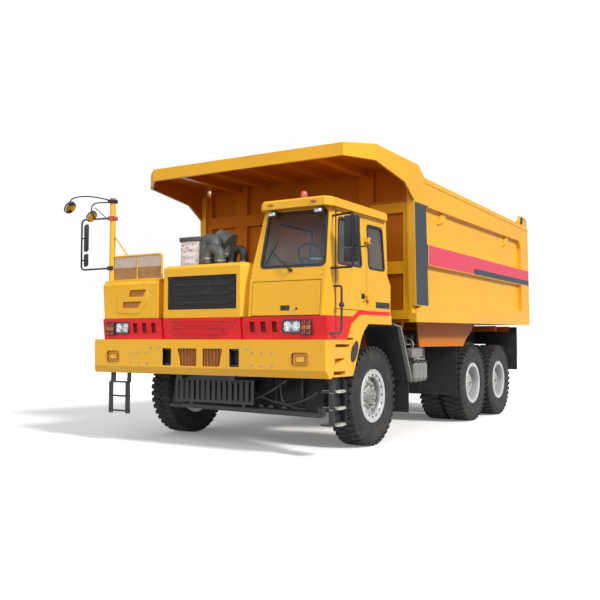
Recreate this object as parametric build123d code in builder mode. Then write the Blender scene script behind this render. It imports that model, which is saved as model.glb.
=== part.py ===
from build123d import *
import os

os.makedirs("parts", exist_ok=True)

# Mining dump truck with an offset one-man cab. Millimetres, X forward, Y to the left, Z up.
# The origin is on the ground, at the middle of the truck's overall length and width.

# Wheels and axles
tyre_radius = 684
tread_radius = 664
tyre_width = 375
tread_lugs = 20
tread_lug_length = 62
tread_lug_reach = 118
bead_radius = 318
flange_radius = 368
flange_thickness = 12
rim_half_width = 165
barrel_thickness = 14
disc_thickness = 16
front_axle_x = 2400
first_wheelbase = 4115
tandem_spacing = 1490
mid_axle_x = front_axle_x - first_wheelbase
rear_axle_x = mid_axle_x - tandem_spacing
trunnion_x = (mid_axle_x + rear_axle_x) / 2
axle_z = tyre_radius
front_track_half = 1557
dual_spacing = 430
dual_middle_y = 1313
running_fit = 0.05
moving_gap = 8

# Front axle and steering
kingpin_y = 1230
kingpin_radius = 27
beam_width = 120
eye_radius = 62
eye_height = 150
fork_height = 56
thrust_gap = 2
web_gap = 8
web_thickness = 40
spindle_radius = 60
front_hub_radius = 200
front_hub_inner_y = 1395
arm_length = 320
tie_rod_radius = 22
ball_pin_radius = 14
ball_eye_radius = 38

# Rear axles
housing_radius = 110
bowl_radius = 250
rear_hub_radius = 190
rear_spindle_radius = 75
rear_hub_inner_y = 925
rear_hub_outer_y = 1590
pinion_reach = 300
pinion_z = 790
shaft_radius = 50
spring_seat_z = 800
spring_inner_y = 570
spring_width = 100

# Ladder frame
rail_inner_y = 400
rail_width = 90
rail_outer_y = rail_inner_y + rail_width
rail_bottom_z = 920
rail_top_z = 1280
rail_tail_x = rear_axle_x - 815
member_depth = 100
tow_pin_radius = 25
tow_y = 566
tow_ear_half = 70
tow_ear_thickness = 25
rear_bar_width = 80
rear_tow_x = rail_tail_x - 150
rear_flap_top_z = 1625

# Bumper and the leaning red band above it
bumper_front_x = 4070
bumper_depth = 115
bumper_back_x = bumper_front_x - bumper_depth
bumper_half_width = 1945
bumper_bottom_z = 985
bumper_nose_z = 1080
bumper_top_z = 1455
bumper_wall = 12
bumper_corner = 30
beam_depth = 60
tow_x = bumper_front_x - 70
fog_lamp_y = 1560
fog_lamp_z = 1217
fog_lamp_size = (236, 151)
vent_inner_y = 50
vent_outer_y = 380
vent_slant = 50
vent_bottom_z = 1103
vent_top_z = 1335
vent_bar_pitch = 54
band_front_x = 4050
band_lean = 35
band_thickness = 40
band_bottom_z = bumper_top_z
band_top_z = 1745
band_left_y = 1922
band_right_y = -1775
band_groove_y = 668
band_groove_width = 52
band_groove_depth = 25
band_slots_y = (832, 1000, 1171)
headlamp_y = 1424
headlamp_z = 1619
headlamp_size = (262, 165)
headlamp_depth = 110
indicator_y = (1566, 1712)
indicator_z = (1515, 1697)

# Wheel arches, seen from the side as (ahead of the front axle, z)
arch_inner_form = [(1005, 1005), (782, 1475), (700, 1576), (577, 1665), (-127, 1665)]
arch_outer_form = [(-127, 1788), (781, 1778), (1018, 1656), (1119, 1480), (1005, 1480)]
liner_form = [(-127, 1680), (582, 1680), (712, 1588), (801, 1475)]
guard_form = [(-127, 1665), (-260, 1665), (-460, 1640), (-840, 858)]
arch_inner = [(front_axle_x + ahead, z) for ahead, z in arch_inner_form]
arch_outer = [(front_axle_x + ahead, z) for ahead, z in arch_outer_form]
liner_line = [(front_axle_x + ahead, z) for ahead, z in liner_form]
guard_line = [(front_axle_x + ahead, z) for ahead, z in guard_form]
flare_outer_y = 1945
flare_depth = 85
liner_inner_y = 1050
guard_thickness = 30
guard_inner_y = 1330
guard_strip_y = (1870, 1930)
guard_cap_z = 1690
front_flap_x = front_axle_x - 870
flap_bottom_z = 400
flap_thickness = 12
panel_outer_y = flare_outer_y - 10
panel_depth = 255

# Hood and grille
hood_front_x = 4050
hood_back_x = 2650
hood_half_width = 735
hood_flat_half = 645
hood_corner = 140
hood_top_z = 2455
hood_wall = 20
hood_edge = 40
grille_half_width = 585
grille_bottom_z = 1855
grille_top_z = 2305
grille_recess = 20
grille_overlap = 13
grille_ribs_z = (1950, 2070, 2190)

# Right fender box and deck
box_outer_y = -1800
box_lean = 43
box_inner_y = -755
box_front_x = 4050
box_back_x = 2244
box_bottom_z = 1750
box_top_z = 2270
box_wall = 20
box_edge = 40
deck_thickness = 20
deck_z = box_top_z + deck_thickness
rail_tube = 19
deck_rail_x = box_front_x - 95
deck_rail_top_z = 2665
tall_post_z = 3505
tall_post_width = 84
tall_post_y = box_outer_y + 78

# Cab: sections as (z, front x, rear x, inner y, outer y, corner along x, corner along y)
cab_sections = [
    (1750, 4045, 2250, 770, 1915, 225, 60),
    (2204, 4007, 2250, 770, 1920, 225, 45),
    (2336, 3985, 2350, 780, 1918, 215, 30),
    (3120, 3825, 2297, 885, 1872, 195, 30),
]
cab_wall = 40
cab_floor_z = 1810
glass_inset = 16
glass_thickness = 8
roof_bottom_z = 3100
roof_top_z = 3215
door_rear_x = 2985
door_front_x = 3800
door_front_top_x = 3712
door_bottom_z = 1840
door_top_z = 3060
door_waist_z = 2330
door_front_gap = 15
hatch_y = (820, 1820)
hatch_z = (1758, 2182)
hatch_below_z = 1740
bulkhead_x = 3760
seat_x = 2760
seat_y = 1360

# Bed: its tail stands behind the hinge
bed_hinge_x = rear_axle_x - 745
bed_hinge_z = 1150
bed_pin_radius = 40
bed_lug_y = 500
bed_lug_width = 45
bed_tail_x = bed_hinge_x - 408
bed_half_width = 2000
bed_top_front = (1213, 3904)
side_inner_y = bed_half_width - 120
side_skin = 50
skin_y = side_inner_y + side_skin
rail_low_z = 3475
belt_z = (2590, 2905)
floor_front_z = 1722
floor_tail_z = 1783
floor_thickness = 40
floor_front_x = 1500
floor_tail_x = bed_tail_x + 108
bearer_bottom_z = 1284
bearer_tail_x = bed_hinge_x + 110
cross_bearer_half = 1650
skirt_y = (1670, 1690)
flap_x = mid_axle_x + 765
flap_y = (756, 1668)
headboard_x = (1400, 1460)
headboard_top_z = 4035
canopy_front_x = 3169
canopy_corner_x = 2860
canopy_flat_half = bed_half_width - 335
canopy_wall = 40
gate_pin_x = bed_tail_x + 208
gate_pin_z = 3925
gate_pin_radius = 30
gate_half = side_inner_y - 10

# Hoist cylinders: pins as (x, z)
hoist_base = (-100, 1000)
hoist_top = (trunnion_x - 140, 1500)
hoist_y = 250
barrel_radius = 85
barrel_short_of_pins = 900
hoist_rod_radius = 38
hoist_pin_radius = 40
hoist_eye_width = 80
hoist_eye_radius = 65


def save(part, label):
    """Label a finished piece and write it."""
    part.label = label
    export_step(part, "parts/" + label + ".step")


def block(x, y, z, mode=Mode.ADD):
    """Add a box from its limits along each axis."""
    with Locations(((x[0] + x[1]) / 2, (y[0] + y[1]) / 2, (z[0] + z[1]) / 2)):
        Box(abs(x[1] - x[0]), abs(y[1] - y[0]), abs(z[1] - z[0]), mode=mode)


def rod(start, end, radius, mode=Mode.ADD):
    """Add a round bar between two points."""
    way = Vector(*end) - Vector(*start)
    with Locations(Plane(origin=start, z_dir=way).location):
        Cylinder(radius, way.length, align=(Align.CENTER, Align.CENTER, Align.MIN), mode=mode)


def side_slab(outline, y, corner=0, mode=Mode.ADD):
    """Extrude a side-view outline of (x, z) between two widths."""
    with BuildSketch(Plane.XZ.offset(-max(y))) as shape:
        Polygon(*outline, align=None)
        if corner:
            fillet(shape.vertices(), corner)
    extrude(shape.sketch, amount=max(y) - min(y), mode=mode)


def front_slab(outline, x, corner=0, mode=Mode.ADD):
    """Extrude a front-view outline of (y, z) between two lengths."""
    with BuildSketch(Plane.YZ.offset(min(x))) as shape:
        Polygon(*outline, align=None)
        if corner:
            fillet(shape.vertices(), corner)
    extrude(shape.sketch, amount=max(x) - min(x), mode=mode)


def top_slab(outline, z, corner=0, mode=Mode.ADD):
    """Extrude a plan outline of (x, y) between two heights."""
    with BuildSketch(Plane.XY.offset(min(z))) as shape:
        Polygon(*outline, align=None)
        if corner:
            fillet(shape.vertices(), corner)
    extrude(shape.sketch, amount=max(z) - min(z), mode=mode)


def rectangle(across, up):
    """Corners of a rectangle from its two limits."""
    return [(across[0], up[0]), (across[1], up[0]), (across[1], up[1]), (across[0], up[1])]


def axle_plane(x, y):
    """Plane through an axle's centre line: first along the axle, then up."""
    return Plane(origin=(x, y, axle_z), x_dir=(0, 1, 0), z_dir=(1, 0, 0))


def axle_line(x):
    """Centre line of an axle."""
    return Axis((x, 0, axle_z), (0, 1, 0))


# Tyre: half of its section as (along the axle, radius), from the bead to the tread
def tyre_ring(x, y):
    """Add one lugged tyre around an axle."""
    half = tyre_width / 2
    bead = rim_half_width - flange_thickness
    flank = [
        (bead, bead_radius), (bead, flange_radius), (half - 12, 425), (half, 500), (half - 3, 570),
        (half - 16, tread_radius - 24), (half - 38, tread_radius),
    ]
    with BuildSketch(axle_plane(x, y)) as section:
        Polygon(*flank, *[(-across, radius) for across, radius in reversed(flank)], align=None)
    revolve(section.sketch, axis=axle_line(x))
    for side, turn in ((1, 0), (-1, 180 / tread_lugs)):
        start = y + side * (half - 26)
        with BuildSketch(Plane(origin=(x, start, axle_z), x_dir=(0, 0, -1), z_dir=(0, 1, 0))) as lugs:
            with PolarLocations((tyre_radius + tread_radius) / 2 - 10, tread_lugs, start_angle=turn):
                Rectangle(tyre_radius - tread_radius + 20, tread_lug_length)
        extrude(lugs.sketch, amount=-side * tread_lug_reach)


def ring(x, y0, y1, inner, outer, mode=Mode.ADD):
    """Add a turned ring around an axle between two places along it."""
    with BuildSketch(axle_plane(x, 0)) as section:
        Polygon(*rectangle((min(y0, y1), max(y0, y1)), (inner, outer)), align=None)
    revolve(section.sketch, axis=axle_line(x), mode=mode)


def rim_barrel(x, y):
    """Add one rim's barrel with its two flanges."""
    half = rim_half_width
    ring(x, y - half, y + half, bead_radius - barrel_thickness, bead_radius)
    ring(x, y - half, y - half + flange_thickness, bead_radius - barrel_thickness, flange_radius)
    ring(x, y + half - flange_thickness, y + half, bead_radius - barrel_thickness, flange_radius)


# Front wheels
front_disc_y = front_track_half + 60
for name, side in (("left", 1), ("right", -1)):
    with BuildPart() as front_tyre:
        tyre_ring(front_axle_x, side * front_track_half)
    save(front_tyre.part, "tyre_front_" + name)

    with BuildPart() as front_rim:
        rim_barrel(front_axle_x, side * front_track_half)
        ring(front_axle_x, side * front_disc_y, side * (front_disc_y + disc_thickness), 0, bead_radius - 1)
        with BuildSketch(Plane(origin=(front_axle_x, side * (front_disc_y - 20), axle_z),
                               z_dir=(0, side, 0))) as holes:
            with PolarLocations(255, 10):
                Circle(26)
        extrude(holes.sketch, amount=60, mode=Mode.SUBTRACT)
        ring(front_axle_x, side * front_hub_inner_y, side * front_disc_y, 0, front_hub_radius)
        ring(front_axle_x, side * front_disc_y, side * 1700, 0, 105)
        ring(
            front_axle_x, side * (front_hub_inner_y - 10), side * 1600, 0,
            spindle_radius + running_fit, mode=Mode.SUBTRACT
        )
    save(front_rim.part, "rim_front_" + name)

# Twin rear wheels: two tyres, and two rims whose discs meet on the hub
for place, axle_x in (("mid", mid_axle_x), ("rear", rear_axle_x)):
    for name, side in (("left", 1), ("right", -1)):
        with BuildPart() as twin_tyres:
            for offset in (-dual_spacing / 2, dual_spacing / 2):
                tyre_ring(axle_x, side * (dual_middle_y + offset))
        save(twin_tyres.part, "tyres_" + place + "_" + name)

        with BuildPart() as twin_rims:
            for way in (-1, 1):
                centre = side * (dual_middle_y + way * dual_spacing / 2)
                rim_barrel(axle_x, centre)
                edge = centre - side * way * rim_half_width
                ring(axle_x, edge, side * dual_middle_y, bead_radius - 30, bead_radius)
            ring(
                axle_x, side * dual_middle_y - disc_thickness, side * dual_middle_y + disc_thickness,
                0, bead_radius
            )
            with BuildSketch(Plane(origin=(axle_x, side * dual_middle_y, axle_z),
                                   z_dir=(0, 1, 0))) as holes:
                with PolarLocations(245, 10):
                    Circle(26)
            extrude(holes.sketch, amount=60, both=True, mode=Mode.SUBTRACT)
            ring(axle_x, side * rear_hub_inner_y, side * rear_hub_outer_y, 0, rear_hub_radius)
            ring(axle_x, side * rear_hub_outer_y, side * (rear_hub_outer_y + 40), 0, 120)
            ring(
                axle_x, side * (rear_hub_inner_y - 10), side * (rear_hub_outer_y - 60), 0,
                rear_spindle_radius + running_fit, mode=Mode.SUBTRACT
            )
        save(twin_rims.part, "rims_" + place + "_" + name)

# Front axle beam with an eye at each end for the kingpin
with BuildPart() as front_axle:
    block(
        (front_axle_x - beam_width / 2, front_axle_x + beam_width / 2),
        (-kingpin_y, kingpin_y), (axle_z - 45, axle_z + 45)
    )
    for side in (1, -1):
        block(
            (front_axle_x - 60, front_axle_x + 60), (side * 395, side * 495), (axle_z + 40, axle_z + 76)
        )
        eye = (front_axle_x, side * kingpin_y, axle_z)
        rod((eye[0], eye[1], axle_z - eye_height / 2), (eye[0], eye[1], axle_z + eye_height / 2),
            eye_radius)
        rod(
            (eye[0], eye[1], axle_z - eye_height), (eye[0], eye[1], axle_z + eye_height),
            kingpin_radius + running_fit, mode=Mode.SUBTRACT
        )
save(front_axle.part, "front_axle")

# Steering knuckles: a fork round the beam's eye, the kingpin, the spindle and the steering arm
lug_start = eye_height / 2 + thrust_gap
web_y = kingpin_y + eye_radius + web_gap
ball_x = front_axle_x - arm_length
arm_z = axle_z - lug_start - fork_height / 2
for name, side in (("left", 1), ("right", -1)):
    with BuildPart() as knuckle:
        for way in (1, -1):
            z_range = (axle_z + way * lug_start, axle_z + way * (lug_start + fork_height))
            rod((front_axle_x, side * kingpin_y, z_range[0]), (front_axle_x, side * kingpin_y, z_range[1]),
                58)
            block((front_axle_x - 58, front_axle_x + 58), (side * kingpin_y, side * (web_y + 1)), z_range)
        rod(
            (front_axle_x, side * kingpin_y, axle_z - lug_start),
            (front_axle_x, side * kingpin_y, axle_z + lug_start),
            kingpin_radius
        )
        block(
            (front_axle_x - 70, front_axle_x + 70), (side * web_y, side * (web_y + web_thickness)),
            (axle_z - lug_start - fork_height, axle_z + lug_start + fork_height)
        )
        rod(
            (front_axle_x, side * (web_y + web_thickness), axle_z), (front_axle_x, side * 1590, axle_z),
            spindle_radius
        )
        block((ball_x, front_axle_x - 40), (side * (kingpin_y - 25), side * (kingpin_y + 25)),
              (arm_z - 15, arm_z + 15))
        rod((ball_x, side * kingpin_y, arm_z + 15), (ball_x, side * kingpin_y, arm_z - 75), ball_pin_radius)
        rod((ball_x, side * kingpin_y, arm_z + 15), (ball_x, side * kingpin_y, arm_z - 15), ball_eye_radius)
    save(knuckle.part, "knuckle_" + name)

# Tie rod between the two steering arms, with an eye on each ball pin
tie_z = arm_z - 45
with BuildPart() as tie_rod:
    rod((ball_x, -kingpin_y, tie_z), (ball_x, kingpin_y, tie_z), tie_rod_radius)
    for side, clearance in ((1, running_fit), (-1, 1.5)):
        rod((ball_x, side * kingpin_y, tie_z - 26), (ball_x, side * kingpin_y, tie_z + 26), ball_eye_radius)
        rod(
            (ball_x, side * kingpin_y, tie_z - 30), (ball_x, side * kingpin_y, tie_z + 30),
            ball_pin_radius + clearance, mode=Mode.SUBTRACT
        )
save(tie_rod.part, "tie_rod")

# Rear axle housings with their bowls and spindles
with BuildPart() as rear_axles:
    for axle_x in (mid_axle_x, rear_axle_x):
        rod((axle_x, -rear_hub_inner_y + 8, axle_z), (axle_x, rear_hub_inner_y - 8, axle_z), housing_radius)
        rod(
            (axle_x, -rear_hub_outer_y + 70, axle_z), (axle_x, rear_hub_outer_y - 70, axle_z),
            rear_spindle_radius
        )
        with Locations((axle_x, 0, axle_z)):
            Sphere(bowl_radius)
        rod((axle_x - pinion_reach, 0, pinion_z), (axle_x + pinion_reach, 0, pinion_z), 75)
        for side in (1, -1):
            block((axle_x - 60, axle_x + 60),
                  (side * spring_inner_y, side * (spring_inner_y + spring_width)),
                  (axle_z, spring_seat_z))
save(rear_axles.part, "rear_axles")

# Ladder frame: rails, members, bumper beam, tow ears, tank arms, rear bar with its flaps, and the pins
member_places = [
    (3810, 920, 1040), (2150, 1130, 1250), (1200, 1080, 1220), (500, 1000, 1120),
    (mid_axle_x + 415, 930, 1040),
    (trunnion_x, 930, 1150), (rear_axle_x - 295, 930, 1150),
]
with BuildPart() as chassis_frame:
    for side in (1, -1):
        block((rail_tail_x, bumper_front_x - bumper_wall), (side * rail_inner_y, side * rail_outer_y),
              (rail_bottom_z, rail_top_z))
        for ear_z in (vent_bottom_z + 2, vent_top_z - tow_ear_thickness - 2):
            block((tow_x - 140, tow_x + 30), (side * rail_outer_y, side * (tow_y + tow_ear_half)),
                  (ear_z, ear_z + tow_ear_thickness))
        block((trunnion_x - 100, trunnion_x + 100),
              (side * rail_outer_y, side * (spring_inner_y + spring_width + 10)),
              (1010, 1200))
        for arm_x in (430, 820):
            block((arm_x - 40, arm_x + 40), (side * rail_outer_y, side * 1000), (980, 1080))
        block((rail_tail_x - rear_bar_width, rail_tail_x), (0, side * 1760), (980, 1100))
        block((rail_tail_x - 0.5, rail_tail_x + flap_thickness), (side * 1165, side * 1830),
              (862, rear_flap_top_z))
    block((bumper_back_x - 5 - beam_depth, bumper_back_x - 5), (-1655, 1655), (1100, 1420))
    block((rear_tow_x - 45, rail_tail_x - rear_bar_width), (-60, 60), (1020, 1060))
    rod((rear_tow_x, 0, 1000), (rear_tow_x, 0, 1100), tow_pin_radius, mode=Mode.SUBTRACT)
    for member_x, low, high in member_places:
        block((member_x - member_depth / 2, member_x + member_depth / 2), (-rail_inner_y, rail_inner_y),
              (low, high))
    rod((hoist_base[0], -rail_inner_y, hoist_base[1]), (hoist_base[0], rail_inner_y, hoist_base[1]),
        hoist_pin_radius)
    rod((bed_hinge_x, -bed_lug_y - 60, bed_hinge_z), (bed_hinge_x, bed_lug_y + 60, bed_hinge_z),
        bed_pin_radius)
    block((bumper_back_x - 10, bumper_front_x), (-rail_outer_y, rail_outer_y),
          (rail_bottom_z, vent_bottom_z - 6),
          mode=Mode.SUBTRACT)
    for side in (1, -1):
        rod((tow_x, side * tow_y, rail_bottom_z), (tow_x, side * tow_y, bumper_top_z), tow_pin_radius,
            mode=Mode.SUBTRACT)
save(chassis_frame.part, "chassis_frame")

# Leaf springs: front packs on the beam, rear packs between the two axles, as (from the middle, z)
front_pack = [(750, 920), (750, 875), (400, 805), (80, 760), (-80, 760), (-400, 805), (-750, 875),
              (-750, 920),
              (-400, 880), (-80, 845), (80, 845), (400, 880)]
half_tandem = tandem_spacing / 2
rear_pack = [
    (half_tandem + 75, spring_seat_z), (half_tandem + 75, 860), (360, 960), (100, 1010), (-100, 1010),
    (-360, 960),
    (-half_tandem - 75, 860), (-half_tandem - 75, spring_seat_z), (-half_tandem + 75, spring_seat_z),
    (-360, 850),
    (-100, 885), (100, 885), (360, 850), (half_tandem - 75, spring_seat_z),
]
with BuildPart() as springs:
    for side in (1, -1):
        side_slab(
            [(front_axle_x + ahead, z) for ahead, z in front_pack],
            (side * (rail_inner_y + 5), side * (rail_outer_y - 5))
        )
        side_slab(
            [(trunnion_x + ahead, z) for ahead, z in rear_pack],
            (side * spring_inner_y, side * (spring_inner_y + spring_width))
        )
save(springs.part, "springs")

# Engine with its sump and feet, gearbox, and shafts to the two rear axles
with BuildPart() as engine:
    block((2350, 3480), (-330, 330), (1150, 2050))
    block((2500, 3450), (-240, 240), (850, 1151))
    rod((3450, 0, 1000), (3560, 0, 1000), 130)
    for foot_x in (2550, 3300):
        block((foot_x - 60, foot_x + 60), (-rail_inner_y, rail_inner_y), (1160, 1260))
save(engine.part, "engine")

with BuildPart() as driveline:
    block((1300, 2350), (-230, 230), (930, 1120))
    block((1300, 2080), (-230, 230), (1119, 1400))
    rod((1302, 0, 960), (mid_axle_x + 350, 0, pinion_z), shaft_radius)
    with Locations((mid_axle_x + 350, 0, pinion_z)):
        Sphere(shaft_radius)
    rod((mid_axle_x + 350, 0, pinion_z), (mid_axle_x + pinion_reach, 0, pinion_z), shaft_radius - 6)
    rod((mid_axle_x - pinion_reach, 0, pinion_z), (rear_axle_x + pinion_reach, 0, pinion_z), shaft_radius)
save(driveline.part, "driveline")

# Radiator and its slotted stone guard
with BuildPart() as radiator:
    block((3700, 3840), (-520, 520), (rail_top_z, 2250))
    block((3745, 3760), (-665, 665), (600, rail_bottom_z))
    for slot in range(14):
        slot_y = -598 + slot * 92
        block((3740, 3765), (slot_y - 18, slot_y + 18), (640, 900), mode=Mode.SUBTRACT)
save(radiator.part, "radiator")

# Fuel tank on the left, oil tank on the right, air tanks and battery box on the frame
with BuildPart() as tanks:
    for side in (1, -1):
        side_slab(rectangle((340, 910), (800, 1350)), (side * 1000, side * 1620), corner=70)
    for place_x in (-850, -150):
        block((place_x - 30, place_x + 30), (rail_outer_y, 600), (1000, 1100))
    rod((-950, 620, 1050), (-50, 620, 1050), 110)
save(tanks.part, "tanks")

with BuildPart() as battery_box:
    block((-800, -200), (-880, -rail_outer_y), (960, 1240))
save(battery_box.part, "battery_box")

# Silencer and pipe on the right
with BuildPart() as exhaust:
    rod((980, -800, 1110), (1420, -800, 1110), 150)
    rod((1400, -800, 1110), (1500, -620, 1350), 55)
    with Locations((1500, -620, 1350)):
        Sphere(55)
    rod((1500, -620, 1350), (2450, -620, 1500), 55)
    with Locations((2450, -620, 1500)):
        Sphere(55)
    rod((2450, -620, 1500), (2450, -330, 1500), 55)
    rod((985, -800, 1110), (900, -800, 1110), 50)
    block((1100, 1200), (-700, -rail_outer_y), (1050, 1150))
save(exhaust.part, "exhaust")

# Front bumper: an open-backed pressing with lamp and tow openings, and two barred vents
with BuildPart() as front_bumper:
    side_slab(
        [(bumper_back_x, bumper_bottom_z), (bumper_front_x - 40, bumper_bottom_z),
         (bumper_front_x, bumper_nose_z),
         (bumper_front_x, bumper_top_z), (bumper_back_x, bumper_top_z)],
        (-bumper_half_width, bumper_half_width)
    )
    fillet(front_bumper.edges().filter_by(Axis.Z).group_by(Axis.X)[-1], bumper_corner)
    block(
        (bumper_back_x - 1, bumper_front_x - bumper_wall - 40),
        (-bumper_half_width + bumper_wall, bumper_half_width - bumper_wall),
        (bumper_bottom_z + bumper_wall, bumper_top_z - bumper_wall), mode=Mode.SUBTRACT
    )
    block(
        (bumper_back_x, bumper_front_x - bumper_wall), (-bumper_half_width + 90, bumper_half_width - 90),
        (bumper_nose_z + 5, bumper_top_z - bumper_wall), mode=Mode.SUBTRACT
    )
    for side in (1, -1):
        front_slab(
            rectangle(
                (side * fog_lamp_y - fog_lamp_size[0] / 2, side * fog_lamp_y + fog_lamp_size[0] / 2),
                (fog_lamp_z - fog_lamp_size[1] / 2, fog_lamp_z + fog_lamp_size[1] / 2)
            ), (bumper_back_x, bumper_front_x + 1), corner=40, mode=Mode.SUBTRACT
        )
        front_slab(
            rectangle((side * (tow_y - 80), side * (tow_y + 80)), (vent_bottom_z, vent_top_z)),
            (bumper_back_x, bumper_front_x + 1), corner=15, mode=Mode.SUBTRACT
        )
        rod((tow_x, side * tow_y, bumper_bottom_z - 1), (tow_x, side * tow_y, bumper_nose_z + 10),
            tow_pin_radius + 8,
            mode=Mode.SUBTRACT)
        front_slab(
            [(side * vent_inner_y, vent_bottom_z), (side * (vent_outer_y - vent_slant), vent_bottom_z),
             (side * vent_outer_y, vent_top_z), (side * vent_inner_y, vent_top_z)],
            (bumper_back_x, bumper_front_x + 1), corner=15, mode=Mode.SUBTRACT
        )
        for bar in range(6):
            bar_y = side * (vent_inner_y + vent_bar_pitch / 2 + bar * vent_bar_pitch)
            block((bumper_front_x - 2 * bumper_wall, bumper_front_x - bumper_wall), (bar_y - 6, bar_y + 6),
                  (vent_bottom_z - 10, vent_top_z + 10))
save(front_bumper.part, "front_bumper")

# Red band: a leaning plate with lamp openings, slots and grooves, and its two side returns
band_face = [(band_front_x - band_lean, band_bottom_z), (band_front_x, band_top_z)]
with BuildPart() as raised_layer:
    side_slab(
        [(x + 8, z) for x, z in band_face]
        + [(band_front_x - 20, band_top_z), (band_front_x - 60, band_bottom_z)],
        (-380, 380)
    )

with BuildPart() as band_trays:
    for low, high in ((1648, 1715), (1530, 1583)):
        front_slab([(-320, low), (320, low), (375, high), (-375, high)],
                   (band_front_x - 100, band_front_x + 20))
    add(raised_layer.part, mode=Mode.INTERSECT)

with BuildPart() as front_band:
    side_slab(
        band_face + [(x - band_thickness, z) for x, z in reversed(band_face)], (band_right_y, band_left_y)
    )
    for y_range in ((band_left_y - 40, band_left_y), (box_outer_y, box_outer_y + 40)):
        side_slab(
            [(band_face[0][0] - 10, band_bottom_z), (band_front_x - 10, band_top_z),
             (front_axle_x + 846, band_top_z), *arch_outer[2:4], (arch_outer[3][0], band_bottom_z)], y_range
        )
    for side in (1, -1):
        front_slab(
            rectangle(
                (side * headlamp_y - headlamp_size[0] / 2, side * headlamp_y + headlamp_size[0] / 2),
                (headlamp_z - headlamp_size[1] / 2, headlamp_z + headlamp_size[1] / 2)
            ), (band_front_x - 2 * headlamp_depth, band_front_x + 1), corner=25, mode=Mode.SUBTRACT
        )
        for slot_y in band_slots_y:
            front_slab(
                rectangle((side * slot_y - 42, side * slot_y + 42), (1547, 1685)),
                (band_front_x - 2 * headlamp_depth, band_front_x + 1), corner=12, mode=Mode.SUBTRACT
            )
        groove = [(x - band_groove_depth, z) for x, z in band_face] + [
            (band_front_x + 1, band_top_z), (band_front_x + 1, band_bottom_z)]
        side_slab(
            groove,
            (side * (band_groove_y - band_groove_width / 2),
             side * (band_groove_y + band_groove_width / 2)),
            mode=Mode.SUBTRACT
        )
    add(band_trays.part)
save(front_band.part, "front_band")

# Lamps: headlamps and indicators cut to the band's lean, fog, roof, beacon and tail lamps
with BuildPart() as lamps:
    for side in (1, -1):
        front_slab(
            rectangle(
                (side * headlamp_y - headlamp_size[0] / 2, side * headlamp_y + headlamp_size[0] / 2),
                (headlamp_z - headlamp_size[1] / 2, headlamp_z + headlamp_size[1] / 2)
            ), (band_front_x - headlamp_depth, band_front_x), corner=25
        )
        front_slab(
            rectangle((side * indicator_y[0], side * indicator_y[1]), indicator_z),
            (band_front_x - band_lean, band_front_x + 12)
        )
    side_slab(
        [(x + 12, z) for x, z in band_face] + [(band_front_x + 200, band_top_z),
         (band_front_x + 200, band_bottom_z)],
        (-bumper_half_width, bumper_half_width), mode=Mode.SUBTRACT
    )
    side_slab(
        band_face + [(x - band_thickness, z) for x, z in reversed(band_face)],
        (-indicator_y[1] - 1, -headlamp_y - headlamp_size[0] / 2 - 1), mode=Mode.SUBTRACT
    )
    side_slab(
        band_face + [(x - band_thickness, z) for x, z in reversed(band_face)],
        (headlamp_y + headlamp_size[0] / 2 + 1, indicator_y[1] + 1), mode=Mode.SUBTRACT
    )
    for side in (1, -1):
        front_slab(
            rectangle(
                (side * fog_lamp_y - fog_lamp_size[0] / 2, side * fog_lamp_y + fog_lamp_size[0] / 2),
                (fog_lamp_z - fog_lamp_size[1] / 2, fog_lamp_z + fog_lamp_size[1] / 2)
            ), (bumper_front_x - 80, bumper_front_x - 10), corner=40
        )
        block((rail_tail_x - rear_bar_width - 30, rail_tail_x - rear_bar_width),
              (side * 1350, side * 1700), (1000, 1080))
    for lamp_y in (960, 1640):
        block((3880, 3960), (lamp_y - 90, lamp_y + 90), (roof_bottom_z - 80, roof_bottom_z))
    rod((3600, 1330, roof_top_z), (3600, 1330, roof_top_z + 110), 65)
save(lamps.part, "lamps")

# Wheel arches: flare, and the stepped panel ahead of it, on each side
with BuildPart() as wheel_arches:
    for side, flare_inner_y in ((1, flare_outer_y - flare_depth), (-1, -box_outer_y - box_lean - box_wall)):
        side_slab(arch_inner + arch_outer, (side * flare_inner_y, side * flare_outer_y))
        side_slab(
            [(arch_inner[0][0], 1000), (bumper_back_x, 1000), (bumper_back_x, bumper_top_z),
             (front_axle_x + 792, bumper_top_z), (front_axle_x + 995, 1024)],
            (side * (panel_outer_y - panel_depth), side * panel_outer_y)
        )
        for low, high, back, front in ((1365, 1400, 465, 105), (1025, 1068, 355, 60)):
            block((bumper_back_x - back, bumper_back_x - front),
                  (side * (panel_outer_y - 130), side * flare_outer_y),
                  (low, high), mode=Mode.SUBTRACT)
        side_slab(
            [(bumper_back_x - 85, 1224), (bumper_back_x - 355, 1226), (bumper_back_x - 85, 1135)],
            (side * (panel_outer_y - 60), side * flare_outer_y), mode=Mode.SUBTRACT
        )
        side_slab(
            [(front_axle_x + ahead, z) for ahead,
             z in ((862, 1400), (922, 1400), (1015, 1205), (955, 1205))],
            (side * (panel_outer_y - 60), side * flare_outer_y), corner=25, mode=Mode.SUBTRACT
        )
    for y_range in ((1700, 1925), (box_outer_y, -1700)):
        block((box_back_x - 200, front_axle_x + 1200), y_range, (box_bottom_z, 1900), mode=Mode.SUBTRACT)
save(wheel_arches.part, "wheel_arches")

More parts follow.
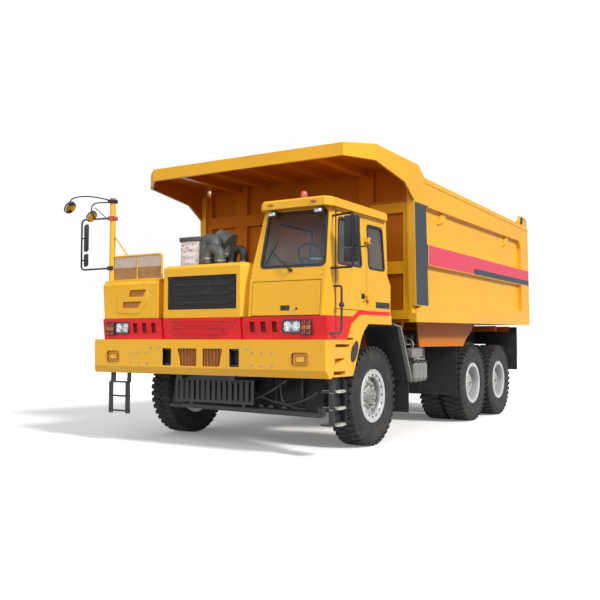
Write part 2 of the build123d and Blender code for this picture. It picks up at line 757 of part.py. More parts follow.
# Black liners inside the arches, and the mudguards' inner sheets with their rubber flaps
guard_back = [(x - guard_thickness, z + 10) for x, z in reversed(guard_line)]
guard_outline = guard_line[1:] + guard_back[:-1] + [(guard_line[1][0], guard_cap_z)]
with BuildPart() as arch_liners:
    for side, outer_y in ((1, flare_outer_y - flare_depth), (-1, -box_outer_y - box_lean - box_wall)):
        side_slab(arch_inner[1:] + liner_line, (side * liner_inner_y, side * outer_y))
        side_slab(guard_outline, (side * guard_inner_y, side * guard_strip_y[0]))
        block((front_flap_x, front_flap_x + flap_thickness),
              (side * (guard_inner_y + 50), side * guard_strip_y[0]),
              (flap_bottom_z, guard_line[-1][1] + 12))
save(arch_liners.part, "arch_liners")

# Grey outer strips and caps of the mudguards
with BuildPart() as mudguards:
    for side in (1, -1):
        side_slab(guard_outline, (side * guard_strip_y[0], side * guard_strip_y[1]))
        block((guard_line[1][0], guard_line[0][0]),
              (side * guard_strip_y[0], side * (guard_strip_y[0] - 10)),
              (guard_line[0][1], guard_cap_z))
save(mudguards.part, "mudguards")

# Hood: a folded shell, open below and behind, with the grille opening
hood_plan = [
    (hood_back_x, -hood_half_width), (hood_front_x - hood_corner, -hood_half_width),
    (hood_front_x, -hood_flat_half), (hood_front_x, hood_flat_half),
    (hood_front_x - hood_corner, hood_half_width), (hood_back_x, hood_half_width),
]
hood_inside = [
    (hood_back_x - 1, -hood_half_width + hood_wall),
    (hood_front_x - hood_corner - 10, -hood_half_width + hood_wall),
    (hood_front_x - hood_wall, -hood_flat_half), (hood_front_x - hood_wall, hood_flat_half),
    (hood_front_x - hood_corner - 10, hood_half_width - hood_wall),
    (hood_back_x - 1, hood_half_width - hood_wall),
]
with BuildPart() as hood:
    top_slab(hood_plan, (band_top_z, hood_top_z))
    chamfer(hood.faces().sort_by(Axis.Z)[-1].edges().sort_by(Axis.X)[1:], hood_edge)
    top_slab(hood_inside, (band_top_z - 1, hood_top_z - 60), mode=Mode.SUBTRACT)
    block((hood_back_x - 1, hood_front_x - 100), (-hood_flat_half, hood_flat_half),
          (hood_top_z - 61, hood_top_z - hood_wall),
          mode=Mode.SUBTRACT)
    block((hood_front_x - 100, hood_front_x + 1), (-grille_half_width, grille_half_width),
          (grille_bottom_z, grille_top_z),
          mode=Mode.SUBTRACT)
save(hood.part, "hood")

# Air cleaner, its cap and two elbow ducts, standing on the hood
with BuildPart() as air_cleaner:
    rod((3330, -560, hood_top_z), (3330, -560, 2830), 190)
    rod((3330, -560, 2830), (3330, -560, 2880), 150)
    for duct_y in (-200, 130):
        rod((3330, duct_y, hood_top_z), (3330, duct_y, 2640), 85)
        with Locations((3330, duct_y, 2640)):
            Sphere(85)
        rod((3330, duct_y, 2640), (3050, duct_y, 2700), 80)
    rod((3080, -60, 2560), (3080, -60, 2900), 120)
    rod((3080, -60, hood_top_z), (3080, -60, 2561), 60)
save(air_cleaner.part, "air_cleaner")

with BuildPart() as grille:
    block(
        (hood_front_x - grille_recess - 12, hood_front_x - grille_recess),
        (-grille_half_width - grille_overlap, grille_half_width + grille_overlap),
        (grille_bottom_z - grille_overlap, grille_top_z + grille_overlap)
    )
    for rib_z in grille_ribs_z:
        front_slab(
            [(-520, rib_z - 10), (520, rib_z - 10), (565, rib_z + 46), (545, rib_z + 46), (510, rib_z + 10),
             (-510, rib_z + 10), (-545, rib_z + 46), (-565, rib_z + 46)],
            (hood_front_x - grille_recess, hood_front_x - 8)
        )
save(grille.part, "grille")

# Right fender box with a raised, slotted face, under the deck plate
box_outline = [(box_inner_y, box_bottom_z), (box_outer_y + box_lean, box_bottom_z),
               (box_outer_y, box_top_z),
               (box_inner_y, box_top_z)]
box_hollow = [
    (box_inner_y - box_wall, box_bottom_z - 1), (box_outer_y + box_lean + box_wall, box_bottom_z - 1),
    (box_outer_y + box_wall, box_top_z - box_wall), (box_inner_y - box_wall, box_top_z - box_wall),
]
raised_face = [(-1338, 2195), (-937, 2182), (-934, 1985), (-1083, 1813), (-1489, 1827), (-1493, 2029)]
with BuildPart() as fender_box:
    front_slab(box_outline, (box_back_x, box_front_x))
    chamfer(fender_box.faces().sort_by(Axis.Z)[-1].edges().sort_by(Axis.X)[-1], box_edge)
    front_slab(box_hollow, (box_back_x + box_wall, box_front_x - box_wall), mode=Mode.SUBTRACT)
    block((box_back_x, box_front_x - box_edge), (box_outer_y, box_inner_y + 5), (box_top_z, deck_z))
    block((box_front_x - box_edge - 30, box_front_x - box_wall + 1), (box_outer_y + 40, box_inner_y - 10),
          (box_top_z - box_edge - 20, box_top_z - box_wall + 1))
    front_slab(raised_face, (box_front_x - 1, box_front_x + 8), corner=20)
    for slot in ([(-1264, 2147), (-967, 2147), (-1016, 2053), (-1304, 2053)],
                 [(-1397, 1984), (-1045, 1984), (-1115, 1895), (-1417, 1895)]):
        front_slab(slot, (box_front_x - box_wall - 1, box_front_x + 9), mode=Mode.SUBTRACT)
save(fender_box.part, "fender_box")

# Deck rail with its mesh, and the tall mirror post with its brace
rail_inner_end_y = -750
post_edge_y = tall_post_y + tall_post_width / 2
with BuildPart() as deck_rail:
    block((deck_rail_x - tall_post_width / 2, deck_rail_x + tall_post_width / 2),
          (tall_post_y - tall_post_width / 2, post_edge_y), (deck_z, tall_post_z))
    rod((deck_rail_x, post_edge_y - 5, 2960), (deck_rail_x, post_edge_y + 270, deck_rail_top_z - 10), 12)
    for post_y in (-1230, rail_inner_end_y - rail_tube):
        rod((deck_rail_x, post_y, deck_z), (deck_rail_x, post_y, deck_rail_top_z - rail_tube), rail_tube)
    for low, high in ((deck_z, deck_z + 30), (deck_rail_top_z - 45, deck_rail_top_z)):
        block((deck_rail_x - 15, deck_rail_x + 15), (post_edge_y - 2, rail_inner_end_y), (low, high))
    for bar in range(9):
        bar_y = post_edge_y + 50 + bar * 100
        block((deck_rail_x - 3, deck_rail_x + 3), (bar_y - 4, bar_y + 4),
              (deck_z + 20, deck_rail_top_z - 30))
save(deck_rail.part, "deck_rail")

# Cab: one block lofted through its sections for each skin, drawn in by an inset
def cab_block(inset, low, high):
    """Return the cab's block between two heights, drawn in by an inset."""
    with BuildPart() as solid:
        sections = []
        for z, front, rear, inner, outer, corner_x, corner_y in cab_sections:
            with BuildSketch(Plane.XY.offset(z)) as section:
                Polygon(
                    (rear + inset, inner + inset), (front - inset, inner + inset),
                    (front - inset, outer - inset - corner_y), (front - inset - corner_x, outer - inset),
                    (rear + inset, outer - inset), align=None
                )
            sections.append(section.sketch)
        loft(sections=sections, ruled=True)
        block((0, 6000), (0, 3000), (high, 4000), mode=Mode.SUBTRACT)
        block((0, 6000), (0, 3000), (0, low), mode=Mode.SUBTRACT)
    return solid.part


door_edge = [
    (door_rear_x, door_bottom_z), (door_front_x, door_bottom_z), (door_front_x, door_waist_z),
    (door_front_top_x, door_top_z), (door_rear_x, door_top_z),
]
door_hole = [
    (door_rear_x - moving_gap, door_bottom_z - moving_gap),
    (door_front_x + door_front_gap, door_bottom_z - moving_gap),
    (door_front_x + door_front_gap, door_waist_z + 2),
    (door_front_top_x + door_front_gap, door_top_z + moving_gap),
    (door_rear_x - moving_gap, door_top_z + moving_gap),
]
door_window = [(3110, 2400), (3752, 2400), (3672, 2990), (3132, 2990)]
side_window = [(2430, 2400), (2915, 2400), (2905, 2985), (2445, 2985)]
inner_window = rectangle((2620, 3560), (2500, 3000))
rear_window = rectangle((1010, 1680), (2480, 2960))
windscreen = [(925, 2368), (1856, 2368), (1812, 3056), (955, 3056)]
window_corner = 55
door_hinge = (2981, 1950)
door_hinge_z = (2000, 2760)
hinge_pin_radius = 9
hinge_eye_radius = 17
hinge_half = 22
outer_cut_y = (1700, 2000)
inner_cut_y = (700, 980)
rear_cut_x = (2240, 2420)
front_cut_x = (3700, 4100)

outside = cab_block(0, box_bottom_z, roof_bottom_z)
inside = cab_block(cab_wall, cab_floor_z, roof_bottom_z - cab_wall)
pane_outside = cab_block(glass_inset, cab_floor_z, roof_bottom_z - 10)
pane_inside = cab_block(glass_inset + glass_thickness, cab_floor_z, roof_bottom_z - 10)
hatch_inside = cab_block(cab_wall, box_bottom_z, roof_bottom_z)

# Mirrors: a hoop and two round mirrors on the tall post, two arms on the cab's front pillar
hoop_x = deck_rail_x + 30
hoop_y = -2325
hoop = [(tall_post_y, 3214), (-2262, 3232), (hoop_y, 3180), (hoop_y, 2532), (-2262, 2484),
        (tall_post_y, 2484)]
left_bar = (3900, 2200)
round_mirror_way = Vector(0.647, -0.333, 0.555).normalized()
with BuildPart() as mirrors:
    for start, end in zip(hoop[:-1], hoop[1:]):
        rod((hoop_x, *start), (hoop_x, *end), 13)
    for turn_y, turn_z in hoop[1:-1]:
        with Locations((hoop_x, turn_y, turn_z)):
            Sphere(13)
    for length, width, z in ((395, 190, 2955), (185, 160, 2625)):
        with Locations(Location((hoop_x, hoop_y + 95, z), (0, 0, -37))):
            Box(52, width, length)
        rod((hoop_x, hoop_y, z), (hoop_x, hoop_y + 90, z), 10)
    for path, disc, radius in (
        ([(deck_rail_x, tall_post_y, 3470), (4170, -2120, 3550), (4262, -2258, 3440)], (4276, -2270, 3378),
         98),
        ([(deck_rail_x, tall_post_y, 3450), (4010, -1950, 3455), (4046, -2040, 3340)], (4052, -2058, 3260),
         92),
    ):
        for start, end in zip(path[:-1], path[1:]):
            rod(start, end, 9)
        with Locations(path[1]):
            Sphere(9)
        middle = Vector(*disc)
        rod(path[-1], middle, 9)
        rod(middle - round_mirror_way * 18, middle + round_mirror_way * 18, radius)
    for arm_z, start in ((2330, (3900, 1850)), (2990, (3770, 1810))):
        rod((*start, arm_z), (*left_bar, arm_z), 12)
    rod((*left_bar, 2318), (*left_bar, 3010), 15)
    for length, width, z in ((380, 240, 2770), (155, 240, 2478)):
        with Locations(Location((left_bar[0] - 35, left_bar[1] - 10, z), (0, 0, 20))):
            Box(52, width, length)
    rod((*left_bar, 2568), (left_bar[0], 2368, 2568), 9)
    add(outside, mode=Mode.SUBTRACT)
    add(deck_rail.part, mode=Mode.SUBTRACT)
save(mirrors.part, "mirrors")

with BuildPart() as bulkhead:
    block((bulkhead_x - 30, 4100), (cab_sections[0][3] + 20, 1740), (cab_floor_z - 30, 2250))
    block((bulkhead_x, 4100), (hatch_y[0] + 20, hatch_y[1] - 100), (hatch_z[0] + 60, hatch_z[1] - 20),
          mode=Mode.SUBTRACT)
    add(outside, mode=Mode.INTERSECT)

with BuildPart() as hatch_hole:
    block((3900, 4100), (hatch_y[0] - moving_gap, hatch_y[1] + moving_gap),
          (hatch_below_z, hatch_z[1] + moving_gap))
    add(hatch_inside, mode=Mode.SUBTRACT)

with BuildPart() as cab_shell:
    add(outside)
    add(inside, mode=Mode.SUBTRACT)
    add(bulkhead.part)
    add(hatch_hole.part, mode=Mode.SUBTRACT)
    side_slab(door_hole, outer_cut_y, mode=Mode.SUBTRACT)
    side_slab(side_window, outer_cut_y, corner=window_corner, mode=Mode.SUBTRACT)
    side_slab(inner_window, inner_cut_y, corner=window_corner, mode=Mode.SUBTRACT)
    front_slab(rear_window, rear_cut_x, corner=window_corner, mode=Mode.SUBTRACT)
    front_slab(windscreen, front_cut_x, corner=window_corner, mode=Mode.SUBTRACT)
    for hinge_z in door_hinge_z:
        rod((*door_hinge, hinge_z - hinge_half - 20), (*door_hinge, hinge_z + hinge_half + 20),
            hinge_pin_radius)
        for low in (hinge_z - hinge_half - 20, hinge_z + hinge_half + 3):
            block((door_hinge[0] - 46, door_hinge[0] - 11), (1870, door_hinge[1] + 12), (low, low + 17))
            block((door_hinge[0] - 15, door_hinge[0] + 12), (door_hinge[1] - 12, door_hinge[1] + 12),
                  (low, low + 17))
save(cab_shell.part, "cab_shell")

with BuildPart() as pane_openings:
    side_slab(side_window, outer_cut_y, corner=window_corner)
    side_slab(inner_window, inner_cut_y, corner=window_corner)
    front_slab(rear_window, rear_cut_x, corner=window_corner)
    front_slab(windscreen, front_cut_x, corner=window_corner)

with BuildPart() as cab_glass:
    add(pane_outside)
    add(pane_inside, mode=Mode.SUBTRACT)
    add(pane_openings.part, mode=Mode.INTERSECT)
save(cab_glass.part, "cab_glass")

roof_inner_y = cab_sections[-1][3] - 20
with BuildPart() as cab_roof:
    top_slab(
        [(2375, roof_inner_y), (3900, roof_inner_y), (4000, 955), (4000, 1865), (3886, 1930), (2375, 1930)],
        (roof_bottom_z, roof_top_z)
    )
    chamfer(cab_roof.faces().sort_by(Axis.Z)[-1].edges(), 25)
save(cab_roof.part, "cab_roof")

with BuildPart() as cab_interior:
    block((seat_x, seat_x + 300), (seat_y - 150, seat_y + 150), (cab_floor_z, 2080))
    block((seat_x - 80, seat_x + 450), (seat_y - 260, seat_y + 260), (2080, 2200))
    side_slab([(seat_x - 140, 2200), (seat_x - 20, 2200), (seat_x - 100, 2860), (seat_x - 200, 2860)],
              (seat_y - 230, seat_y + 230), corner=30)
    side_slab([(3580, cab_floor_z), (bulkhead_x - 30, cab_floor_z), (bulkhead_x - 30, 2250), (3900, 2250),
               (3900, 2330),
               (3580, 2400)], (835, 1740))
    wheel_start = (3590, seat_y, 2350)
    wheel_hub = (3400, seat_y, 2520)
    rod(wheel_start, wheel_hub, 30)
    with BuildSketch(Plane(origin=wheel_hub, x_dir=(0, 1, 0), z_dir=(-190, 0, 170))) as hub:
        Circle(45)
    extrude(hub.sketch, amount=30)
    with Locations(Plane(origin=(3392, seat_y, 2527), x_dir=(0, 1, 0), z_dir=(-190, 0, 170)).location):
        Torus(225, 16)
        Box(450, 30, 14)
save(cab_interior.part, "cab_interior")

with BuildPart() as cab_door:
    add(outside)
    add(inside, mode=Mode.SUBTRACT)
    side_slab(door_edge, (1780, 2000), mode=Mode.INTERSECT)
    side_slab(door_window, outer_cut_y, corner=window_corner, mode=Mode.SUBTRACT)
    for hinge_z in door_hinge_z:
        rod((*door_hinge, hinge_z - hinge_half), (*door_hinge, hinge_z + hinge_half), hinge_eye_radius)
        block((door_rear_x, door_rear_x + 30), (1870, door_hinge[1] + 5),
              (hinge_z - hinge_half, hinge_z + hinge_half))
        rod((*door_hinge, hinge_z - hinge_half - 1), (*door_hinge, hinge_z + hinge_half + 1),
            hinge_pin_radius + running_fit, mode=Mode.SUBTRACT)
save(cab_door.part, "cab_door")

with BuildPart() as door_glass:
    add(pane_outside)
    add(pane_inside, mode=Mode.SUBTRACT)
    side_slab(door_window, outer_cut_y, corner=window_corner, mode=Mode.INTERSECT)
save(door_glass.part, "door_glass")

with BuildPart() as cab_hatch:
    block((3900, 4100), hatch_y, hatch_z)
    add(outside, mode=Mode.INTERSECT)
    add(hatch_inside, mode=Mode.SUBTRACT)
save(cab_hatch.part, "cab_hatch")

# Steps below the left bumper end, ladder below the right one, and the grab rail by the door
step_x = (3390, bumper_back_x - 75)
with BuildPart() as steps:
    for plate_x in (step_x[0] - 10, step_x[1]):
        block((plate_x, plate_x + 10), (1715, 1925), (400, 1000))
    for tread_z in (415, 615, 820):
        block(step_x, (1715, 1925), (tread_z - 15, tread_z + 15))
    for lower, upper in (((-1705, -1625), (-1665, -1575)), ((-1385, -1300), (-1350, -1280))):
        front_slab(
            [(lower[0], 410), (lower[1], 410), (lower[1], 840), (upper[1], 870),
             (upper[1], bumper_bottom_z),
             (upper[0], bumper_bottom_z), (upper[0], 870), (lower[0], 840)], (3990, 4002)
        )
    for rung_z, rung_y in ((446, (-1700, -1305)), (654, (-1700, -1305)), (853, (-1690, -1310))):
        block((3975, 4012), rung_y, (rung_z - 12, rung_z + 12))
    rod((3840, 2015, 1545), (3840, 2015, 2120), 14)
    rod((3840, 2015, 2106), (3840, 1850, 2106), 11)
    rod((3840, 2015, 1550), (3985, band_left_y - 8, 1535), 11)
    with Locations((3840, 2015, 1880)):
        Sphere(32)
    add(outside, mode=Mode.SUBTRACT)
    add(front_band.part, mode=Mode.SUBTRACT)
save(steps.part, "steps")

# Bed: floor on cross bearers and two long bearers, with skirts, hinge lugs and the hoist ears
with BuildPart() as bed_floor:
    side_slab(
        [(floor_tail_x, floor_tail_z), (floor_front_x, floor_front_z),
         (floor_front_x, floor_front_z + floor_thickness),
         (floor_tail_x, floor_tail_z + floor_thickness)], (-side_inner_y, side_inner_y)
    )
    for side in (1, -1):
        side_slab(
            [(bearer_tail_x, bearer_bottom_z), (1300, bearer_bottom_z), (1300, 1730),
             (bearer_tail_x, 1790)],
            (side * rail_inner_y, side * rail_outer_y)
        )
        side_slab(
            [(bed_hinge_x - 60, 1080), (bed_hinge_x + 60, 1080), (bed_hinge_x + 180, 1320),
             (bed_hinge_x + 180, 1790),
             (bed_hinge_x - 160, 1790), (bed_hinge_x - 60, 1260)],
            (side * bed_lug_y, side * (bed_lug_y + bed_lug_width))
        )
        side_slab(
            [(mid_axle_x - 45, 1757), (mid_axle_x + 27, 1644), (mid_axle_x + 160, 1560),
             (mid_axle_x + 305, 1500),
             (mid_axle_x + 400, 1430), (mid_axle_x + 475, 1352), (712, 1352), (806, 1733)],
            (side * skirt_y[0], side * skirt_y[1])
        )
        for ear in (hoist_y - hoist_eye_width / 2 - 25, hoist_y + hoist_eye_width / 2 + 5):
            side_slab(
                [(hoist_top[0] - 100, 1460), (hoist_top[0] + 40, 1420), (hoist_top[0] + 100, 1460),
                 (hoist_top[0] + 150, 1780), (hoist_top[0] - 200, 1780)],
                (side * ear, side * (ear + 20))
            )
    for bearer_x in (1260, 300, flap_x + flap_thickness / 2 + 40, mid_axle_x, rear_axle_x,
                     bed_hinge_x - 100):
        block((bearer_x - 40, bearer_x + 40), (-cross_bearer_half, cross_bearer_half), (1640, 1745))
    rod((bed_hinge_x, -700, bed_hinge_z), (bed_hinge_x, 700, bed_hinge_z), bed_pin_radius + running_fit,
        mode=Mode.SUBTRACT)
save(bed_floor.part, "bed_floor")

# Rubber flaps across the bed ahead of the rear wheels
with BuildPart() as bed_flaps:
    for side in (1, -1):
        block((flap_x - flap_thickness / 2, flap_x + flap_thickness / 2),
              (side * flap_y[0], side * flap_y[1]), (500, 1740))
save(bed_flaps.part, "bed_flaps")

# Bed sides: a skin with rails, belt and posts standing proud of it, as (x, z) from the front or the tail
side_outline = [
    (bed_tail_x, floor_tail_z - 1), (1537, floor_front_z - 2), (1600, 3508), (1600, 3904), bed_top_front,
    (bed_tail_x + 88, 3815),
]
rear_post = [
    (bed_tail_x, 1782), (bed_tail_x + 530, 1782), (bed_tail_x + 590, 3340), (bed_tail_x + 690, rail_low_z),
    (bed_tail_x + 690, 3500), (bed_tail_x + 88, 3815),
]
with BuildPart() as bed_sides:
    for side in (1, -1):
        side_slab(side_outline, (side * side_inner_y, side * skin_y))
        proud = (side * skin_y, side * bed_half_width)
        side_slab([(bed_tail_x, 1782), (1537, 1720), (1541, 1850), (1200, 2050), (bed_tail_x + 13, 2050)],
                  proud)
        side_slab([(bed_tail_x + 36, belt_z[0]), (1567, belt_z[0]), (1579, belt_z[1]),
                   (bed_tail_x + 50, belt_z[1])],
                  proud)
        side_slab([(bed_tail_x + 70, rail_low_z), (1595, rail_low_z), (1600, 3904), bed_top_front,
                   (bed_tail_x + 88, 3815)], proud)
        side_slab([(1190, 3826), (1190, 3861), (bed_tail_x + 86, 3772), (bed_tail_x + 86, 3737)],
                  (side * skin_y, side * (bed_half_width + 8)))
        side_slab([(1080, 1960), (1546, 1960), (1596, rail_low_z + 10), (1162, rail_low_z + 10)], proud)
        side_slab(rear_post, proud)
        for lug_x in (191, bed_tail_x + 1233):
            side_slab([(lug_x, rail_low_z + 2), (lug_x + 240, rail_low_z + 2), (lug_x + 374, 3280),
                       (lug_x + 153, 3338)],
                      (side * skin_y, side * (skin_y + 30)))
        side_slab([(bed_tail_x + 84, 3810), (bed_tail_x + 603, 3815), (bed_tail_x + 528, 4005),
                   (bed_tail_x + 128, 4005)], (side * skin_y, side * (skin_y + 45)))
        rod((gate_pin_x, side * (gate_half - 70), gate_pin_z),
            (gate_pin_x, side * (skin_y + 45), gate_pin_z),
            gate_pin_radius)
save(bed_sides.part, "bed_sides")

# Headboard with posts and two cross beams, closed up to the canopy
with BuildPart() as bed_headboard:
    block(headboard_x, (-side_inner_y, side_inner_y),
          (floor_front_z + floor_thickness + 2, headboard_top_z))
    for side in (1, -1):
        block((headboard_x[1], 1540), (side * (side_inner_y - 90), side * side_inner_y), (1764, 3904))
        block((headboard_x[1], 1535), (side * 1050, side * 1300), (1764, headboard_top_z))
    for low, high in ((1764, 1900), (2440, 2625), (3350, 3545)):
        block((headboard_x[1], 1540), (-side_inner_y, side_inner_y), (low, high))
save(bed_headboard.part, "bed_headboard")

# Canopy over the cab: top plate, folded edge and ribs below
canopy_plan = [
    (headboard_x[1], -bed_half_width), (canopy_corner_x, -bed_half_width),
    (canopy_front_x, -canopy_flat_half),
    (canopy_front_x, canopy_flat_half), (canopy_corner_x, bed_half_width), (headboard_x[1], bed_half_width),
]
canopy_hollow = [
    (headboard_x[0], -bed_half_width + canopy_wall), (canopy_corner_x - 15, -bed_half_width + canopy_wall),
    (canopy_front_x - canopy_wall, -canopy_flat_half + 15),
    (canopy_front_x - canopy_wall, canopy_flat_half - 15),
    (canopy_corner_x - 15, bed_half_width - canopy_wall), (headboard_x[0], bed_half_width - canopy_wall),
]
canopy_under = [(1600, 3904), (1600, 3508), (1926, 3721), (canopy_corner_x, 3851), (canopy_front_x, 3900)]
with BuildPart() as bed_canopy:
    top_slab(canopy_plan, (3500, 4075))
    side_slab(
        [(canopy_front_x + 1, 4075), (1400, 4058), (1400, 3904)] + canopy_under, (-2100, 2100),
        mode=Mode.INTERSECT
    )
    top_slab(canopy_hollow, (3400, headboard_top_z), mode=Mode.SUBTRACT)
    for rib_y, width in ((-1230, 110), (-620, 60), (0, 60), (600, 60), (1170, 130)):
        block((1540, canopy_front_x - canopy_wall), (rib_y - width / 2, rib_y + width / 2),
              (3930, headboard_top_z + 5))
    for side in (1, -1):
        side_slab([bed_top_front, (1461, 3904), (1461, 4059), (1441, 4058)],
                  (side * (bed_half_width - canopy_wall), side * bed_half_width))
save(bed_canopy.part, "bed_canopy")

# Tailgate hung from two arms
with BuildPart() as tailgate:
    side_slab([(bed_tail_x + 13, 1790), (bed_tail_x + 98, 1790), (bed_tail_x + 176, 3720),
               (bed_tail_x + 96, 3720)],
              (-gate_half, gate_half))
    for side in (1, -1):
        side_slab(
            [(bed_tail_x + 96, 3600), (bed_tail_x + 180, 3600), (gate_pin_x + 60, gate_pin_z),
             (gate_pin_x + 40, 3980),
             (gate_pin_x - 40, 3980), (bed_tail_x + 96, 3760)],
            (side * (gate_half - 40), side * gate_half)
        )
    rod((gate_pin_x, -1900, gate_pin_z), (gate_pin_x, 1900, gate_pin_z), gate_pin_radius + running_fit,
        mode=Mode.SUBTRACT)
    for rib_y in (-1200, -400, 400, 1200):
        side_slab([(bed_tail_x + 5, 1900), (bed_tail_x + 18, 1900), (bed_tail_x + 88, 3640),
                   (bed_tail_x + 75, 3640)],
                  (rib_y - 50, rib_y + 50))
save(tailgate.part, "tailgate")

# Hoist: barrels on the frame's cross tube, rods reaching back to the bed's ears
base = Vector(hoist_base[0], 0, hoist_base[1])
reach = Vector(hoist_top[0], 0, hoist_top[1]) - base
along = reach.normalized()
barrel_length = reach.length - barrel_short_of_pins
with BuildPart() as hoist_barrels:
    for side in (1, -1):
        start = base + Vector(0, side * hoist_y, 0)
        rod(start + along * 50, start + along * barrel_length, barrel_radius)
        rod(start - Vector(0, hoist_eye_width / 2, 0), start + Vector(0, hoist_eye_width / 2, 0), 80)
        rod(start - Vector(0, 100, 0), start + Vector(0, 100, 0), hoist_pin_radius + running_fit,
            mode=Mode.SUBTRACT)
        rod(start + along * 120, start + along * (barrel_length + 10), hoist_rod_radius + running_fit,
            mode=Mode.SUBTRACT)
save(hoist_barrels.part, "hoist_barrels")

with BuildPart() as hoist_rods:
    for side in (1, -1):
        start = base + Vector(0, side * hoist_y, 0)
        end = start + reach
        rod(start + along * 130, end, hoist_rod_radius)
        rod(end - Vector(0, hoist_eye_width / 2, 0), end + Vector(0, hoist_eye_width / 2, 0),
            hoist_eye_radius)
save(hoist_rods.part, "hoist_rods")
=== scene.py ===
import math

import bmesh
import bpy
from mathutils import Euler, Matrix, Vector


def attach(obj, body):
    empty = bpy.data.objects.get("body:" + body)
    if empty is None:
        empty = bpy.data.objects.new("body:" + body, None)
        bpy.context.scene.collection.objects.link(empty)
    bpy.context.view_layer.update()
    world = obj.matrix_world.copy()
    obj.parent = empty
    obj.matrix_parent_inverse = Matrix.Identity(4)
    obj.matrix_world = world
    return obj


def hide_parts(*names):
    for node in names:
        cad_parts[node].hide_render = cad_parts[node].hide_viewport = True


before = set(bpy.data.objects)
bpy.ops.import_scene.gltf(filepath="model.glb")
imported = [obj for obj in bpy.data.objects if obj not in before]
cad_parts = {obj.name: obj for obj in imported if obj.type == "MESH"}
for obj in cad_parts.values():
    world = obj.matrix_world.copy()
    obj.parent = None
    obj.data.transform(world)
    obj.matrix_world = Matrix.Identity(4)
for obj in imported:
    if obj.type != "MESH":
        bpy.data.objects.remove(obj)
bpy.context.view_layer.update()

# The view: a camera at the photograph's place, ahead of the truck and to its left, on a pale studio
# floor. One lamp over the left side stands for the high sun, a broad one in front fills the shade, and
# the sky lights the rest. The camera sees the floor and the sky white.


def direction(heading, height):
    """Unit vector towards a heading and a height in degrees."""
    heading, height = math.radians(heading), math.radians(height)
    return Vector((math.cos(heading) * math.cos(height), math.sin(heading) * math.cos(height), math.sin(height)))


def add_object(name, data):
    """Put data into the scene as an object."""
    made = bpy.data.objects.new(name, data)
    bpy.context.scene.collection.objects.link(made)
    return made


camera_data = bpy.data.cameras.new("camera")
camera_data.lens = 47.617
camera_data.sensor_width = 36
camera_data.clip_end = 300
camera_roll = Matrix.Rotation(math.radians(0.15), 3, "Z")
camera = add_object("camera", camera_data)
camera.location = (12.298, 6.653, 1.445)
camera.rotation_euler = (direction(211.744, 2.922).to_track_quat("-Z", "Y").to_matrix() @ camera_roll).to_euler()
bpy.context.scene.camera = camera
bpy.context.scene.view_settings.view_transform = "Standard"


def add_sun(name, heading, height, strength, spread, colour):
    """Hang a sun at a heading and a height, its light spread over an angle, all in degrees."""
    data = bpy.data.lights.new(name, "SUN")
    data.energy = strength
    data.angle = math.radians(spread)
    data.color = colour
    add_object(name, data).rotation_euler = (-direction(heading, height)).to_track_quat("-Z", "Y").to_euler()


add_sun("high_sun", 78, 38, 3.5, 12, (1.0, 0.97, 0.92))
add_sun("front_fill", 10, 25, 1.65, 60, (0.95, 0.97, 1.0))


class Wire:
    """A shader socket with Python's arithmetic, where each operator adds its node."""

    def __init__(self, paint, socket):
        self.paint = paint
        self.socket = socket

    def maths(self, operation, *values):
        return self.paint.node("ShaderNodeMath", {"operation": operation}, dict(enumerate(values)))

    def __add__(self, other):
        return self.maths("ADD", self, other)

    def __sub__(self, other):
        return self.maths("SUBTRACT", self, other)

    def __rsub__(self, other):
        return self.maths("SUBTRACT", other, self)

    def __mul__(self, other):
        return self.maths("MULTIPLY", self, other)

    def __gt__(self, other):
        return self.maths("GREATER_THAN", self, other)

    def __lt__(self, other):
        return self.maths("LESS_THAN", self, other)

    def __abs__(self):
        return self.maths("ABSOLUTE", self)

    __radd__ = __add__
    __rmul__ = __mul__


